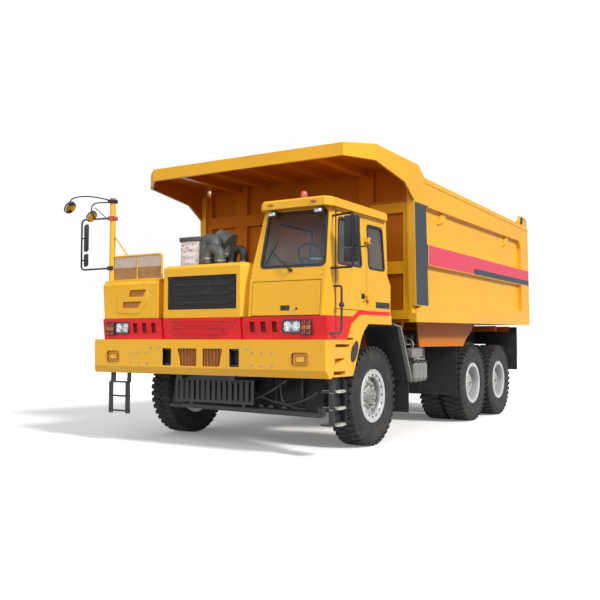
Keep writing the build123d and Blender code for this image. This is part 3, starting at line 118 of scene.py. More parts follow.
class Paint:
    """The node material of one finish, its shader values first and its patterns after."""

    def __init__(self, name, **values):
        self.material = bpy.data.materials.new(name)
        self.material.use_nodes = True
        self.tree = self.material.node_tree
        self.shader = self.tree.nodes["Principled BSDF"]
        for key, value in values.items():
            self.shader.inputs[key.replace("_", " ")].default_value = value
        self.place = self.node("ShaderNodeTexCoord", output="Object")

    def node(self, kind, settings=None, sockets=None, output=0):
        """Add a node, set it up, feed its sockets and return one of its outputs."""
        made = self.tree.nodes.new(kind)
        for key, value in (settings or {}).items():
            setattr(made, key, value)
        for key, value in (sockets or {}).items():
            self.feed(made.inputs[key], value)
        return Wire(self, made.outputs[output])

    def feed(self, socket, value):
        """Link a wire to a socket, or write a plain value into it."""
        if isinstance(value, Wire):
            self.tree.links.new(value.socket, socket)
        else:
            socket.default_value = value

    def noise(self, scale, detail, stretch=(1, 1, 1)):
        """Noise from 0 to 1 over the piece, as many features to a metre as its scale."""
        place = self.node("ShaderNodeMapping", None, {"Vector": self.place, "Scale": stretch})
        return self.node("ShaderNodeTexNoise", None, {"Vector": place, "Scale": scale, "Detail": detail}, "Fac")

    def ramp(self, wire, low, high):
        """0 below low, 1 above high and smooth between."""
        sockets = {"Value": wire, "From Min": low, "From Max": high}
        return self.node("ShaderNodeMapRange", {"interpolation_type": "SMOOTHSTEP"}, sockets)

    def mixed(self, factor, first, second):
        """Mix of two colours."""
        return self.node("ShaderNodeMix", {"data_type": "RGBA"}, {"Factor": factor, 6: first, 7: second}, 2)

    def axes(self):
        """The x, y and z of the point being painted, in metres."""
        return [self.node("ShaderNodeSeparateXYZ", None, {0: self.place}, key) for key in "XYZ"]

    def bump(self, height, depth, rounding=0.0):
        """Raise the surface by a height pattern, depth in metres, over edges rounded to a radius."""
        sockets = {"Height": height, "Distance": depth, "Strength": 1.0}
        if rounding:
            sockets["Normal"] = self.node("ShaderNodeBevel", {"samples": 4}, {"Radius": rounding})
        self.feed(self.shader.inputs["Normal"], self.node("ShaderNodeBump", None, sockets))

    def give(self, **wires):
        """Feed wires or values to the shader's sockets."""
        for key, value in wires.items():
            self.feed(self.shader.inputs[key.replace("_", " ")], value)

    def mottle(self, scale, detail, edges, first, second):
        """Vary the base colour from one to another by noise, sharpened between two edges."""
        mask = self.noise(scale, detail)
        if edges:
            mask = self.ramp(mask, *edges)
        self.give(Base_Color=self.mixed(mask, (*first, 1), (*second, 1)))


def clothe(finish, *names):
    """Give CAD nodes a finish."""
    for name in names:
        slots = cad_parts[name].data.materials
        slots.clear()
        slots.append(finish.material)


floor_mesh = bmesh.new()
bmesh.ops.create_grid(floor_mesh, x_segments=1, y_segments=1, size=60)
floor_data = bpy.data.meshes.new("floor")
floor_mesh.to_mesh(floor_data)
floor_mesh.free()
floor = add_object("floor", floor_data)
floor_paint = Paint("floor", Base_Color=(0.95, 0.95, 0.95, 1), Roughness=0.8)
floor_paint.shader.inputs["Emission Color"].default_value = (1, 1, 1, 1)
floor_paint.shader.inputs["Emission Strength"].default_value = 0.12
seen_ray = floor_paint.node("ShaderNodeLightPath", output="Is Camera Ray")
gloss_ray = floor_paint.node("ShaderNodeLightPath", output="Is Glossy Ray")
through_ray = floor_paint.node("ShaderNodeLightPath", output="Is Transmission Ray")
dull_ground = floor_paint.node("ShaderNodeBsdfDiffuse", None, {"Color": (0.26, 0.22, 0.18, 1)}, "BSDF")
pale_ground = Wire(floor_paint, floor_paint.shader.outputs["BSDF"])
ground = floor_paint.node(
    "ShaderNodeMixShader", None, {0: seen_ray + gloss_ray + through_ray, 1: dull_ground, 2: pale_ground}
)
floor_paint.feed(floor_paint.tree.nodes["Material Output"].inputs["Surface"], ground)
floor_data.materials.append(floor_paint.material)

sky = bpy.data.worlds.new("sky")
sky.use_nodes = True
bpy.context.scene.world = sky
sky_nodes = sky.node_tree.nodes
sky_light = sky_nodes["Background"]
sky_light.inputs["Color"].default_value = (0.93, 0.96, 1.0, 1)
sky_light.inputs["Strength"].default_value = 0.46
sky_shown = sky_nodes.new("ShaderNodeBackground")
sky_shown.inputs["Color"].default_value = (1, 1, 1, 1)
sky_shown.inputs["Strength"].default_value = 1.0
ray = sky_nodes.new("ShaderNodeLightPath")
sky_mix = sky_nodes.new("ShaderNodeMixShader")
seen = sky_nodes.new("ShaderNodeMath")
seen.operation = "MAXIMUM"
for start, end in (
    (ray.outputs["Is Camera Ray"], seen.inputs[0]), (ray.outputs["Is Transmission Ray"], seen.inputs[1]),
    (seen.outputs[0], sky_mix.inputs[0]), (sky_light.outputs[0], sky_mix.inputs[1]),
    (sky_shown.outputs[0], sky_mix.inputs[2]), (sky_mix.outputs[0], sky_nodes["World Output"].inputs["Surface"]),
):
    sky.node_tree.links.new(start, end)

# Yellow coachwork: cab, hood, deck box, bumper, arches and canopy, pressed and welded steel under
# glossy machine paint, with a faint orange peel, uneven fading, and dust and dirt low down.
yellow = (0.80, 0.42, 0.024, 1)
yellow_faded = (0.76, 0.39, 0.024, 1)
# The yellow as it looks in shade, for painted shade, and as it looks in sun, for painted sunlight.
yellow_painted_shade = (0.53, 0.155, 0.004, 1)
yellow_painted_sunlight = (0.80, 0.37, 0.014, 1)
dust = (0.40, 0.31, 0.19, 1)
grime = (0.11, 0.065, 0.03, 1)


def coat_yellow(name, stripes_and_shades=(), grimy=0.06, gloss=0.08, specular=0.35, ground=None):
    """Make the yellow finish on its own ground colour, with stripes and painted light and shade as (mask maker,
    colour).
    """
    paint = Paint(name, Coat_Weight=gloss, Coat_Roughness=0.12, Specular_IOR_Level=specular)
    x, y, z = paint.axes()
    colour = ground or paint.mixed(paint.ramp(paint.noise(1.3, 4), 0.35, 0.75), yellow, yellow_faded)
    for mask, mark_colour in stripes_and_shades:
        colour = paint.mixed(mask(x, y, z), colour, mark_colour)
    runs = paint.ramp(paint.noise(3.5, 5, (6, 6, 0.5)), 0.56, 0.78) * grimy
    colour = paint.mixed(runs, colour, grime)
    low = (1 - paint.ramp(z, 0.9, 2.0)) * paint.ramp(paint.noise(5, 5), 0.42, 0.8) * 0.10
    scuffs = paint.ramp(paint.noise(26, 6), 0.68, 0.76) * 0.12
    paint.give(
        Base_Color=paint.mixed(scuffs, paint.mixed(low, colour, dust), grime),
        Roughness=0.3 + paint.noise(9, 4) * 0.14 + scuffs * 0.3,
    )
    paint.bump(paint.noise(160, 1), 0.0004, 0.006)
    return paint


coachwork = coat_yellow("coachwork_yellow", grimy=0.04)
clothe(coachwork, "cab_shell", "cab_roof", "cab_door", "cab_hatch", "hood", "fender_box", "wheel_arches", "tailgate",
       "deck_rail")
# Painted shade: the headboard and the bed floor take the deep orange of the yellow in shade, with a patch of painted
# sunlight on the headboard's left end.
load_paint = coat_yellow("load_yellow_painted_light", (
    (lambda x, y, z: (x > 1.50) * (y > 1.25) * (z < 3.50), yellow_painted_sunlight),
), 0.05, 0.0, 0.12, yellow_painted_shade)
clothe(load_paint, "bed_headboard", "bed_floor")


def canopy_shade_mask(x, y, z):
    """1 on the canopy's underside, inside its front edge and its sloping corners, where painted shade goes."""
    return (x < 3.149) * (z < 4.045) * (abs(y) < 1.980) * (abs(y) + x * 1.084 < 5.070)


# Painted shade: the canopy's underside takes the deep orange of the yellow in shade.
canopy_paint = coat_yellow("canopy_yellow", ((canopy_shade_mask, yellow_painted_shade),), 0.04, 0.02, 0.25)
clothe(canopy_paint, "bed_canopy")

# Bed sides: folded sheet with rails and posts, in the same yellow. A rose stripe runs along the belt
# with a slate one under its tail, and the front post carries a slate panel. Both are on the outside.
rose = (0.68, 0.055, 0.11, 1)
slate = (0.03, 0.042, 0.055, 1)


def within(value, low, high):
    """1 between two limits, 0 outside them."""
    return (value > low) * (value < high)


def bed_stripe(front, top):
    """A mask that is 1 on the belt's outside, from the bed's tail to a front end and up to a height."""
    return lambda x, y, z: within(x, -4.40, front) * within(z, 2.60, top) * (abs(y) > 1.9)


def post_panel(x, y, z):
    """1 on the outside of the leaning front post, between its foot and the top rail."""
    return (x > 1.08) * (z * 0.0325 + 1.4723 > x) * within(z, 1.97, 3.49) * (abs(y) > 1.9)


bed_paint = coat_yellow(
    "bed_yellow", ((bed_stripe(1.06, 2.90), rose), (bed_stripe(-0.957, 2.70), slate), (post_panel, slate)), 0.05
)
clothe(bed_paint, "bed_sides")

# Front bumper: a thick pressed beam. Its two vents are closed by a slatted screen, and screen and vent floors are
# painted brown as painted shade; eight bolts a side hold it to the frame, and a gasket in that brown frames each fog
# lamp.
bolt_steel = Paint("bolt_steel", Roughness=0.42, Metallic=0.7)
bolt_steel.mottle(40, 3, (0.4, 0.7), (0.42, 0.42, 0.40), (0.26, 0.22, 0.17))
# The vent brown is the yellow as it looks in shade: painted shade.
vent_shade_colour = (0.36, 0.13, 0.03)


def vent_shade_mask(x, y, z):
    """1 on the floor of the bumper's two vents, painted brown as painted shade."""
    return within(x, 4.0, 4.0595) * within(z, 1.1035, 1.3345) * (abs(y) < 0.42)


bumper_paint = coat_yellow("bumper_yellow", ((vent_shade_mask, (*vent_shade_colour, 1)),), 0.04)
clothe(bumper_paint, "front_bumper")
shaded_yellow_brown = Paint("shaded_yellow_brown", Roughness=0.6)
shaded_yellow_brown.mottle(12, 4, (0.35, 0.8), (0.46, 0.17, 0.035), vent_shade_colour)
dark_rubber = Paint("dark_rubber", Roughness=0.55)
dark_rubber.mottle(20, 3, (0.4, 0.8), (0.012, 0.012, 0.013), (0.03, 0.028, 0.026))
dark_rubber.bump(dark_rubber.noise(300, 2), 0.0002)


def piece(name, mesh, finish, body="root", sharp=35):
    """Make a finished mesh a piece that rides on a body, smooth but for its sharp edges."""
    bmesh.ops.recalc_face_normals(mesh, faces=mesh.faces)
    for face in mesh.faces:
        face.smooth = True
    for edge in mesh.edges:
        edge.smooth = edge.calc_face_angle(0) < math.radians(sharp)
    data = bpy.data.meshes.new(name)
    mesh.to_mesh(data)
    mesh.free()
    data.materials.append(finish.material)
    made = add_object(name, data)
    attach(made, body)
    return made


def new_meshes(count):
    """As many empty meshes as asked."""
    return [bmesh.new() for _ in range(count)]


def at_x(x, places):
    """Points (y, z) on an upright plane across the truck."""
    return [(x, y, z) for y, z in places]


def at_y(y, places):
    """Points (x, z) on an upright plane along the truck."""
    return [(x, y, z) for x, z in places]


def rectangle(x, middle, half):
    """Corners of an upright rectangle that faces forward, from its middle and half sizes."""
    (y, z), (wide, high) = middle, half
    return at_x(x, ((y - wide, z - high), (y + wide, z - high), (y + wide, z + high), (y - wide, z + high)))


def round_edges(mesh, edges, radius, segments=2):
    """Bevel edges to a radius."""
    bmesh.ops.bevel(mesh, geom=list(edges), offset=radius, segments=segments, profile=0.5, affect="EDGES", material=-1)


def add_block(mesh, low, high, rounding=0.0, turn=None):
    """Add a box between two corners, its edges rounded, turned about its middle."""
    low, high = Vector(low), Vector(high)
    size = high - low
    place = Matrix.Translation((low + high) / 2) @ (turn.to_matrix().to_4x4() if turn else Matrix.Identity(4))
    size_matrix = Matrix.Diagonal((abs(size.x), abs(size.y), abs(size.z), 1))
    made = bmesh.ops.create_cube(mesh, size=1, matrix=place @ size_matrix)
    if rounding:
        round_edges(mesh, {edge for vert in made["verts"] for edge in vert.link_edges}, rounding)


def add_rod(mesh, start, end, radius, sides=16, tip=None):
    """Add a round bar between two points, or a cone with its own radius at the tip."""
    start, end = Vector(start), Vector(end)
    place = Matrix.Translation((start + end) / 2) @ (end - start).to_track_quat("Z", "Y").to_matrix().to_4x4()
    bmesh.ops.create_cone(mesh, cap_ends=True, segments=sides, radius1=radius, radius2=radius if tip is None else tip,
                          depth=(end - start).length, matrix=place)


def add_face(mesh, corners, corner, segments):
    """Add one flat face, its corners rounded to a radius."""
    known = set(mesh.faces)
    face = mesh.faces.new([mesh.verts.new(place) for place in corners])
    if corner:
        bmesh.ops.bevel(
            mesh, geom=list(face.verts), offset=corner, segments=segments, profile=0.5, affect="VERTICES", material=-1
        )
        face = (set(mesh.faces) - known).pop()
    return face


def raise_faces(mesh, faces, way):
    """Extrude flat faces along a vector."""
    raised = bmesh.ops.extrude_face_region(mesh, geom=faces)
    corners = [part for part in raised["geom"] if isinstance(part, bmesh.types.BMVert)]
    bmesh.ops.translate(mesh, verts=corners, vec=way)


def add_plate(mesh, corners, way, rounding=0.0, corner=0.0):
    """Add a flat plate from its corners, raised along a vector."""
    known = set(mesh.faces)
    raise_faces(mesh, [add_face(mesh, corners, corner, 5)], way)
    if rounding:
        round_edges(mesh, {edge for face in set(mesh.faces) - known for edge in face.edges}, rounding)


def add_frame(mesh, corners, corner, width, way):
    """Add a flat frame of a width inside rounded corners, raised along a vector."""
    face = add_face(mesh, corners, corner, 6)
    rim = bmesh.ops.inset_region(mesh, faces=[face], thickness=width, use_even_offset=True, use_boundary=True)["faces"]
    bmesh.ops.delete(mesh, geom=[face], context="FACES_ONLY")
    raise_faces(mesh, rim, way)


def add_bolt(mesh, place, way, radius):
    """Add a washer and a hexagon head on a face that looks along a vector."""
    place, way = Vector(place), Vector(way).normalized()
    add_rod(mesh, place - way * 0.002, place + way * radius * 0.2, radius * 1.45, 16)
    add_rod(mesh, place, place + way * radius * 0.85, radius, 6)


fog_y, fog_z = 1.560, 1.217
vent_bottom, vent_corner, slats, left_bolt_shift = 1.103, 0.33, 34, 0.065
screens, bolts, gaskets = new_meshes(3)
for side in (1, -1):
    add_plate(screens, at_x(4.030, ((side * 0.045, 1.098), (side * 0.335, 1.098), (side * 0.385, 1.340),
                                    (side * 0.045, 1.340))), (0.004, 0, 0))
    for slat in range(slats):
        y = side * (0.052 + 0.0098 * slat)
        foot = vent_bottom + max(0, abs(y) - vent_corner) * 4.64
        add_block(screens, (4.033, y - 0.0022, foot), (4.043, y + 0.0022, 1.336))
    for y, z in ((1.216, 1.283), (1.216, 1.131), (1.064, 1.283), (1.064, 1.131), (0.913, 1.283), (0.913, 1.131),
                 (0.848, 1.345), (0.713, 1.347)):
        add_bolt(bolts, (4.070, side * y - (left_bolt_shift if side > 0 else 0), z), (1, 0, 0), 0.011)
    add_frame(gaskets, rectangle(4.066, (side * fog_y, fog_z), (0.124, 0.082)), 0.042, 0.010, (0.011, 0, 0))
    add_frame(gaskets, rectangle(4.060, (side * fog_y, fog_z), (0.074, 0.045)), 0.014, 0.006, (0.012, 0, 0))
piece("bumper_vent_screens", screens, shaded_yellow_brown)
piece("bumper_bolts", bolts, bolt_steel)
piece("fog_lamp_gaskets", gaskets, shaded_yellow_brown)

# Red front band: a pressed panel under the hood and the cab, in gloss red. Each of its slots has a
# raised rim and dark mesh behind, three bars stand proud in the middle, and a thin red stripe goes on
# above the left arch.
red_paint = Paint("band_red", Coat_Weight=0.08, Coat_Roughness=0.1, Specular_IOR_Level=0.3)
red_paint.mottle(4, 3, (0.4, 0.8), (0.70, 0.009, 0.012), (0.62, 0.012, 0.015))
red_paint.give(Roughness=0.26 + red_paint.noise(12, 3) * 0.12)
red_paint.bump(red_paint.noise(160, 1), 0.0003, 0.005)
clothe(red_paint, "front_band")
mesh_dark = Paint("mesh_dark", Roughness=0.6)
mesh_dark.mottle(18, 3, (0.3, 0.8), (0.24, 0.02, 0.012), (0.13, 0.014, 0.01))
slot_rims, slot_mesh = new_meshes(2)


def band_x(z):
    """Front of the leaning band at a height."""
    return 4.015 + (z - 1.455) * 0.035 / 0.29


def add_wires(mesh, low, high, count, pitch):
    """Repeat a thin bar between two corners, each bar a pitch from the last."""
    for wire in range(count):
        add_block(mesh, Vector(low) + Vector(pitch) * wire, Vector(high) + Vector(pitch) * wire)


for y in [side * y for side in (1, -1) for y in (0.832, 1.000, 1.171)]:
    corners = [(band_x(z) - 0.004, across, z) for _, across, z in rectangle(0, (y, 1.616), (0.052, 0.079))]
    add_frame(slot_rims, corners, 0.016, 0.012, (0.014, 0, -0.0017))
    add_wires(slot_mesh, (4.012, y - 0.0412, 1.547), (4.015, y - 0.0388, 1.685), 11, (0, 0.008, 0))
    add_wires(slot_mesh, (4.010, y - 0.042, 1.5508), (4.013, y + 0.042, 1.5532), 16, (0, 0, 0.0085))
    add_block(slot_mesh, (3.990, y - 0.042, 1.547), (3.994, y + 0.042, 1.685))
arch_stripe = ((3.246, 1.745), (3.181, 1.778), (2.273, 1.788), (2.273, 1.842), (3.205, 1.834), (3.355, 1.757),
               (3.380, 1.745))
add_plate(slot_rims, at_y(1.9115, arch_stripe), (0, 0.007, 0))
for z, start, end in ((1.702, -0.520, 0.600), (1.617, -0.490, 0.520), (1.532, -0.460, 0.420)):
    foot, crest = band_x(z) + 0.026, band_x(z) + 0.024
    add_plate(slot_rims, [(foot, start, z - 0.010), (foot, end - 0.030, z - 0.010), (crest, end, z + 0.010),
                          (crest, start - 0.010, z + 0.010)], (0.014, 0, 0), 0.004)
piece("band_slot_rims", slot_rims, red_paint)
piece("band_slot_mesh", slot_mesh, mesh_dark)

# Lamps: headlamps with a chrome bowl behind a ribbed clear lens in a dark surround, amber and red
# clusters beside them, square fog lamps, roof lamps, the beacon and the tail lamps.
lens = Paint("lamp_lens", Base_Color=(0.75, 0.78, 0.80, 1), Roughness=0.12, Coat_Weight=0.6)
clear_lens = Paint("clear_lens", Roughness=0.05, Coat_Weight=0.4, Alpha=0.16)
clear_lens.mottle(30, 2, None, (0.80, 0.84, 0.88), (0.68, 0.73, 0.80))
chrome_bowl = Paint("chrome_bowl", Roughness=0.12, Metallic=1.0)
chrome_bowl.mottle(25, 3, (0.35, 0.75), (0.92, 0.93, 0.95), (0.62, 0.64, 0.68))
amber_lens = Paint("amber_lens", Roughness=0.15, Coat_Weight=0.6)
amber_lens.mottle(22, 2, (0.4, 0.6), (0.46, 0.13, 0.012), (0.30, 0.075, 0.008))
fog_lens = Paint("fog_lens", Roughness=0.15, Coat_Weight=0.6)
fog_lens.mottle(22, 2, (0.4, 0.6), (0.90, 0.52, 0.05), (0.75, 0.38, 0.03))
beacon_red = Paint("beacon_red", Roughness=0.2, Coat_Weight=0.4)
beacon_red.mottle(22, 2, None, (0.60, 0.10, 0.05), (0.42, 0.06, 0.03))
red_lens = Paint("red_lens", Roughness=0.15, Coat_Weight=0.6)
red_lens.mottle(22, 2, (0.4, 0.6), (0.26, 0.012, 0.010), (0.16, 0.008, 0.008))


def add_turned(mesh, line, centre, axis, steps, closed=False):
    """Add a round shape, turned from a line of points about an axis."""
    points = [mesh.verts.new(place) for place in line]
    ends = points[1:] + points[:1] if closed else points[1:]
    edges = [mesh.edges.new(pair) for pair in zip(points, ends)]
    bmesh.ops.spin(mesh, geom=points + edges, cent=centre, axis=axis, angle=math.tau, steps=steps, use_merge=True)


def add_ribs(mesh, x, middle, half, count, radius):
    """Add upright ribs on a lens, 13 mm apart about its middle."""
    y, z = middle
    for rib in range(count):
        across = y + 0.013 * (rib - (count - 1) / 2)
        add_rod(mesh, (x, across, z - half), (x, across, z + half), radius, 6)


lamp_y, lamp_z = 1.424, 1.619
bowls, glasses, surrounds, marker_lenses, ambers, reds, fog_plates, fogs, beacon = new_meshes(9)
for side in (1, -1):
    y, fog = side * lamp_y, (side * fog_y, fog_z)
    add_block(surrounds, (3.930, y - 0.131, lamp_z - 0.082), (3.985, y + 0.131, lamp_z + 0.082), 0.01)
    for across in (y - 0.065, y + 0.065):
        bowl = ((3.987, 0.0), (3.989, 0.020), (3.997, 0.048), (4.019, 0.060), (4.037, 0.064))
        add_turned(bowls, [(x, across + out, lamp_z) for x, out in bowl], (0, across, lamp_z), (1, 0, 0), 28)
        add_rod(bowls, (3.986, across, lamp_z), (4.012, across, lamp_z), 0.014, 12, 0.010)
    add_frame(surrounds, rectangle(4.020, (y, lamp_z), (0.135, 0.086)), 0.028, 0.012, (0.028, 0, 0))
    add_block(surrounds, (3.985, y - 0.003, 1.540), (4.020, y + 0.003, 1.698))
    add_plate(glasses, rectangle(4.026, (y, lamp_z), (0.124, 0.076)), (0.006, 0, 0), 0.0, 0.022)
    add_ribs(glasses, 4.032, (y, lamp_z), 0.071, 19, 0.0032)
    for low, high, mesh in ((1.520, 1.575, reds), (1.580, 1.635, ambers), (1.640, 1.692, reds)):
        for start in (1.571, 1.644):
            add_block(mesh, (4.020, side * start, low), (4.068, side * (start + 0.065), high), 0.006)
    add_frame(surrounds, rectangle(4.030, (side * 1.639, 1.606), (0.077, 0.095)), 0.008, 0.006, (0.034, 0, 0))
    add_plate(fog_plates, rectangle(4.036, fog, (0.112, 0.070)), (0.014, 0, 0), 0.0, 0.035)
    add_block(fogs, (4.048, fog[0] - 0.064, 1.182), (4.062, fog[0] + 0.064, 1.252), 0.006)
    add_ribs(fogs, 4.062, fog, 0.031, 9, 0.0035)
    for start, mesh in ((1.360, glasses), (1.470, reds), (1.585, ambers)):
        add_block(mesh, (-4.134, side * start, 1.008), (-4.100, side * (start + 0.100), 1.072), 0.006)
for y in (1.050, 1.735):
    add_block(glasses, (3.905, y - 0.056, 3.026), (3.958, y + 0.056, 3.084), 0.012)
    add_block(bowls, (3.895, y - 0.048, 3.034), (3.940, y + 0.048, 3.076), 0.008)
    add_block(surrounds, (3.875, y - 0.064, 3.018), (3.910, y + 0.064, 3.092), 0.010)
    add_rod(surrounds, (3.890, y, 3.086), (3.890, y, 3.102), 0.015)
for y in (1.082, 1.715):
    add_block(marker_lenses, (3.996, y - 0.040, 3.142), (4.014, y + 0.040, 3.168), 0.005)
beacon_x, beacon_y = 3.6, 1.33
dome = [(0.048, 3.248), (0.047, 3.330), (0.042, 3.358), (0.028, 3.376), (0.0, 3.382)]
add_turned(beacon, [(beacon_x + out, beacon_y, z) for out, z in dome], (beacon_x, beacon_y, 0), (0, 0, 1), 32)
for z in (3.262, 3.278, 3.294, 3.310):
    add_rod(beacon, (beacon_x, beacon_y, z), (beacon_x, beacon_y, z + 0.008), 0.050, 28)
add_rod(surrounds, (beacon_x, beacon_y, 3.213), (beacon_x, beacon_y, 3.250), 0.060, 28)
bowl_piece = piece("headlamp_bowls", bowls, chrome_bowl)
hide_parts("lamps")
for name, mesh, finish in (
    ("lamp_glasses", glasses, clear_lens), ("lamp_surrounds", surrounds, dark_rubber),
    ("amber_lenses", ambers, amber_lens), ("red_lenses", reds, red_lens),
    ("fog_lamp_plates", fog_plates, coachwork), ("fog_lenses", fogs, fog_lens),
    ("beacon_dome", beacon, beacon_red), ("roof_markers", marker_lenses, amber_lens),
):
    piece(name, mesh, finish)
clothe(lens, "lamps")

# Hood and grille: the hood is folded sheet, and the grille a black moulding with four swept ribs over
# fine mesh. A rubber strip seals the hood against the band.
grille_black = Paint("grille_black", Coat_Weight=0.04, Specular_IOR_Level=0.3)
grille_black.mottle(14, 4, (0.4, 0.8), (0.007, 0.008, 0.010), (0.018, 0.019, 0.020))
grille_black.give(Roughness=0.38 + grille_black.noise(30, 3) * 0.2)
grille_black.bump(grille_black.noise(420, 2), 0.0003, 0.002)
grille_ribs, edge_seals = new_meshes(2)
for z in (1.930, 2.050, 2.170, 2.275):
    for low, high, start, end in ((-0.54, -0.42, 0.035, 0.0), (-0.42, 0.42, 0.0, 0.0), (0.42, 0.54, 0.0, 0.035)):
        add_plate(grille_ribs, at_x(4.030, ((low, z + start - 0.012), (high, z + end - 0.012), (high, z + end + 0.006),
                                            (low, z + start + 0.006))), (0.016, 0, 0), 0.003)
add_wires(grille_ribs, (4.028, -0.570, 1.8668), (4.033, 0.570, 1.8692), 44, (0, 0, 0.0098))
piece("grille_ribs", grille_ribs, grille_black)
for right, left, front in ((-0.735, 0.735, 4.046), (0.742, 1.905, 4.042), (-1.770, -0.742, 4.046)):
    add_block(edge_seals, (4.012, right, 1.7405), (front, left, 1.7495), 0.003)
piece("band_edge_seals", edge_seals, dark_rubber)

# Air cleaner behind the hood: a filter housing still in its pale quilted wrap under a slanted cap, a
# grey elbow, a wide bent duct, a tilted rain cap and a rubber hose, all on brackets and clamps.
duct_grey = Paint("duct_grey", Roughness=0.5)
duct_grey.mottle(9, 5, (0.4, 0.8), (0.055, 0.066, 0.066), (0.11, 0.105, 0.095))
duct_grey.give(Roughness=0.4 + duct_grey.noise(25, 3) * 0.25)
duct_grey.bump(duct_grey.noise(120, 3), 0.0006, 0.003)
pale_wrap = Paint("pale_wrap", Roughness=0.55)
wrap_folds = pale_wrap.ramp(pale_wrap.noise(11, 4, (1, 1.4, 2.4)), 0.52, 0.66)
pale_wrap.give(Base_Color=pale_wrap.mixed(wrap_folds, (0.72, 0.69, 0.70, 1), (0.42, 0.26, 0.27, 1)))
pale_wrap.bump(pale_wrap.noise(38, 4), 0.006)


def add_pipe(mesh, path, radius):
    """Sweep a round pipe along a smooth line through its route."""
    line = bpy.data.curves.new("route", "CURVE")
    line.dimensions = "3D"
    line.bevel_depth = radius
    line.bevel_resolution = 4
    line.use_fill_caps = True
    run = line.splines.new("NURBS")
    run.points.add(len(path) - 1)
    for point, place in zip(run.points, path):
        point.co = (*place, 1)
    run.order_u = 3
    run.use_endpoint_u = True
    holder = bpy.data.objects.new("route", line)
    swept = bpy.data.meshes.new_from_object(holder)
    mesh.from_mesh(swept)
    bpy.data.objects.remove(holder)
    bpy.data.curves.remove(line)
    bpy.data.meshes.remove(swept)


wrap_middle, wrap_size = Vector((3.230, -0.7725, 2.675)), (0.26, 0.345, 0.43)
quilt_rows = 4
wrap, ducts, hoses, clamps = new_meshes(4)
bmesh.ops.create_cube(wrap, size=1, matrix=Matrix.Translation(wrap_middle) @ Matrix.Diagonal((*wrap_size, 1)))
bmesh.ops.subdivide_edges(wrap, edges=wrap.edges, cuts=15, use_grid_fill=True)
for vert in wrap.verts:
    x, y, z = vert.co - wrap_middle
    swell = 0.5 + 0.5 * math.cos(z / wrap_size[2] * quilt_rows * math.tau)
    crown = math.cos(y / wrap_size[1] * math.pi) ** 0.5 if abs(y) < 0.171 else 0
    vert.co.x += x * 0.16 * (swell * crown - 0.4)
    vert.co.y += y * 0.07 * (swell - 0.5)
bmesh.ops.smooth_vert(wrap, verts=wrap.verts, factor=0.5, use_axis_x=True, use_axis_y=True, use_axis_z=True)
wrap_piece = piece("filter_wrap", wrap, pale_wrap, sharp=80)
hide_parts("air_cleaner")
add_plate(ducts, at_y(-0.955, ((3.095, 2.880), (3.380, 2.880), (3.380, 2.945), (3.095, 2.965))), (0, 0.365, 0), 0.012)
add_block(ducts, (3.080, -0.955, 2.455), (3.400, -0.590, 2.475), 0.004)
add_pipe(ducts, at_x(3.300, ((-0.530, 2.450), (-0.520, 2.700), (-0.500, 2.880), (-0.420, 2.900), (-0.330, 2.820),
                             (-0.330, 2.560))), 0.095)
add_pipe(ducts, at_x(3.430, ((-0.375, 2.530), (-0.370, 2.640), (-0.330, 2.735), (-0.230, 2.735), (-0.150, 2.660),
                             (-0.150, 2.455))), 0.080)
add_pipe(ducts, [(3.060, -0.360, 2.455), (3.060, -0.360, 2.660), (3.050, -0.360, 2.830)], 0.080)
add_rod(ducts, (3.035, -0.275, 2.845), (3.060, -0.445, 2.945), 0.165, 28, 0.120)
add_rod(ducts, (3.060, -0.445, 2.945), (3.066, -0.475, 2.962), 0.125, 28)
add_pipe(hoses, [(3.300, -0.040, 2.455), (3.300, -0.040, 2.620), (3.310, 0.020, 2.720), (3.320, 0.130, 2.730),
                 (3.330, 0.190, 2.640), (3.330, 0.190, 2.450)], 0.058)
add_pipe(hoses, [(3.120, -0.280, 2.600), (3.180, -0.120, 2.640), (3.260, -0.050, 2.600), (3.300, -0.040, 2.520)], 0.045)
for x, y, z, radius in ((3.430, -0.150, 2.560, 0.083), (3.430, -0.372, 2.600, 0.083), (3.300, -0.330, 2.620, 0.098),
                        (3.330, 0.190, 2.540, 0.061), (3.300, -0.040, 2.540, 0.061), (3.060, -0.360, 2.700, 0.083)):
    add_rod(clamps, (x, y, z - 0.009), (x, y, z + 0.009), radius, 28)
    add_block(clamps, (x + radius - 0.004, y - 0.016, z - 0.008), (x + radius + 0.016, y + 0.016, z + 0.008), 0.002)
for name, mesh, finish in (("air_ducts", ducts, duct_grey), ("air_hoses", hoses, dark_rubber),
                           ("duct_clamps", clamps, bolt_steel)):
    piece(name, mesh, finish)

# Deck: a pipe rail with a tall post, with expanded mesh and a brown sheet wired into its frame as painted shade
# of what is seen through the mesh, sheets of painted shade behind the slots of the box, clamps that hold the
# mirror arms to the post, and a raised tread.
rail_x, post_y, rail_end_y, rail_top, deck_top = 3.955, -1.722, -0.765, 2.648, 2.286
rail_pipes, deck_mesh, shade_backing, slot_shade_sheets, post_clamps, deck_bolts, deck_tread = new_meshes(7)
add_rod(rail_pipes, (rail_x, post_y, deck_top), (rail_x, post_y, 3.505), 0.041, 32)
add_rod(rail_pipes, (rail_x, -1.690, 2.960), (rail_x, -1.410, 2.650), 0.012, 12)
add_pipe(rail_pipes, at_x(rail_x, ((-1.690, rail_top), (-0.900, rail_top), (rail_end_y, rail_top), (rail_end_y, 2.550),
                                   (rail_end_y, 2.287))), 0.015)
add_rod(rail_pipes, (rail_x, -1.230, deck_top), (rail_x, -1.230, rail_top), 0.009, 12)
add_block(rail_pipes, (3.940, -1.690, 2.287), (3.970, rail_end_y, 2.312), 0.004)
for y in (post_y, rail_end_y):
    add_block(rail_pipes, (3.905, y - 0.050, 2.284), (4.005, y + 0.050, 2.296), 0.003)
rail_piece = piece("deck_rail_pipes", rail_pipes, coachwork)
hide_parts("deck_rail")
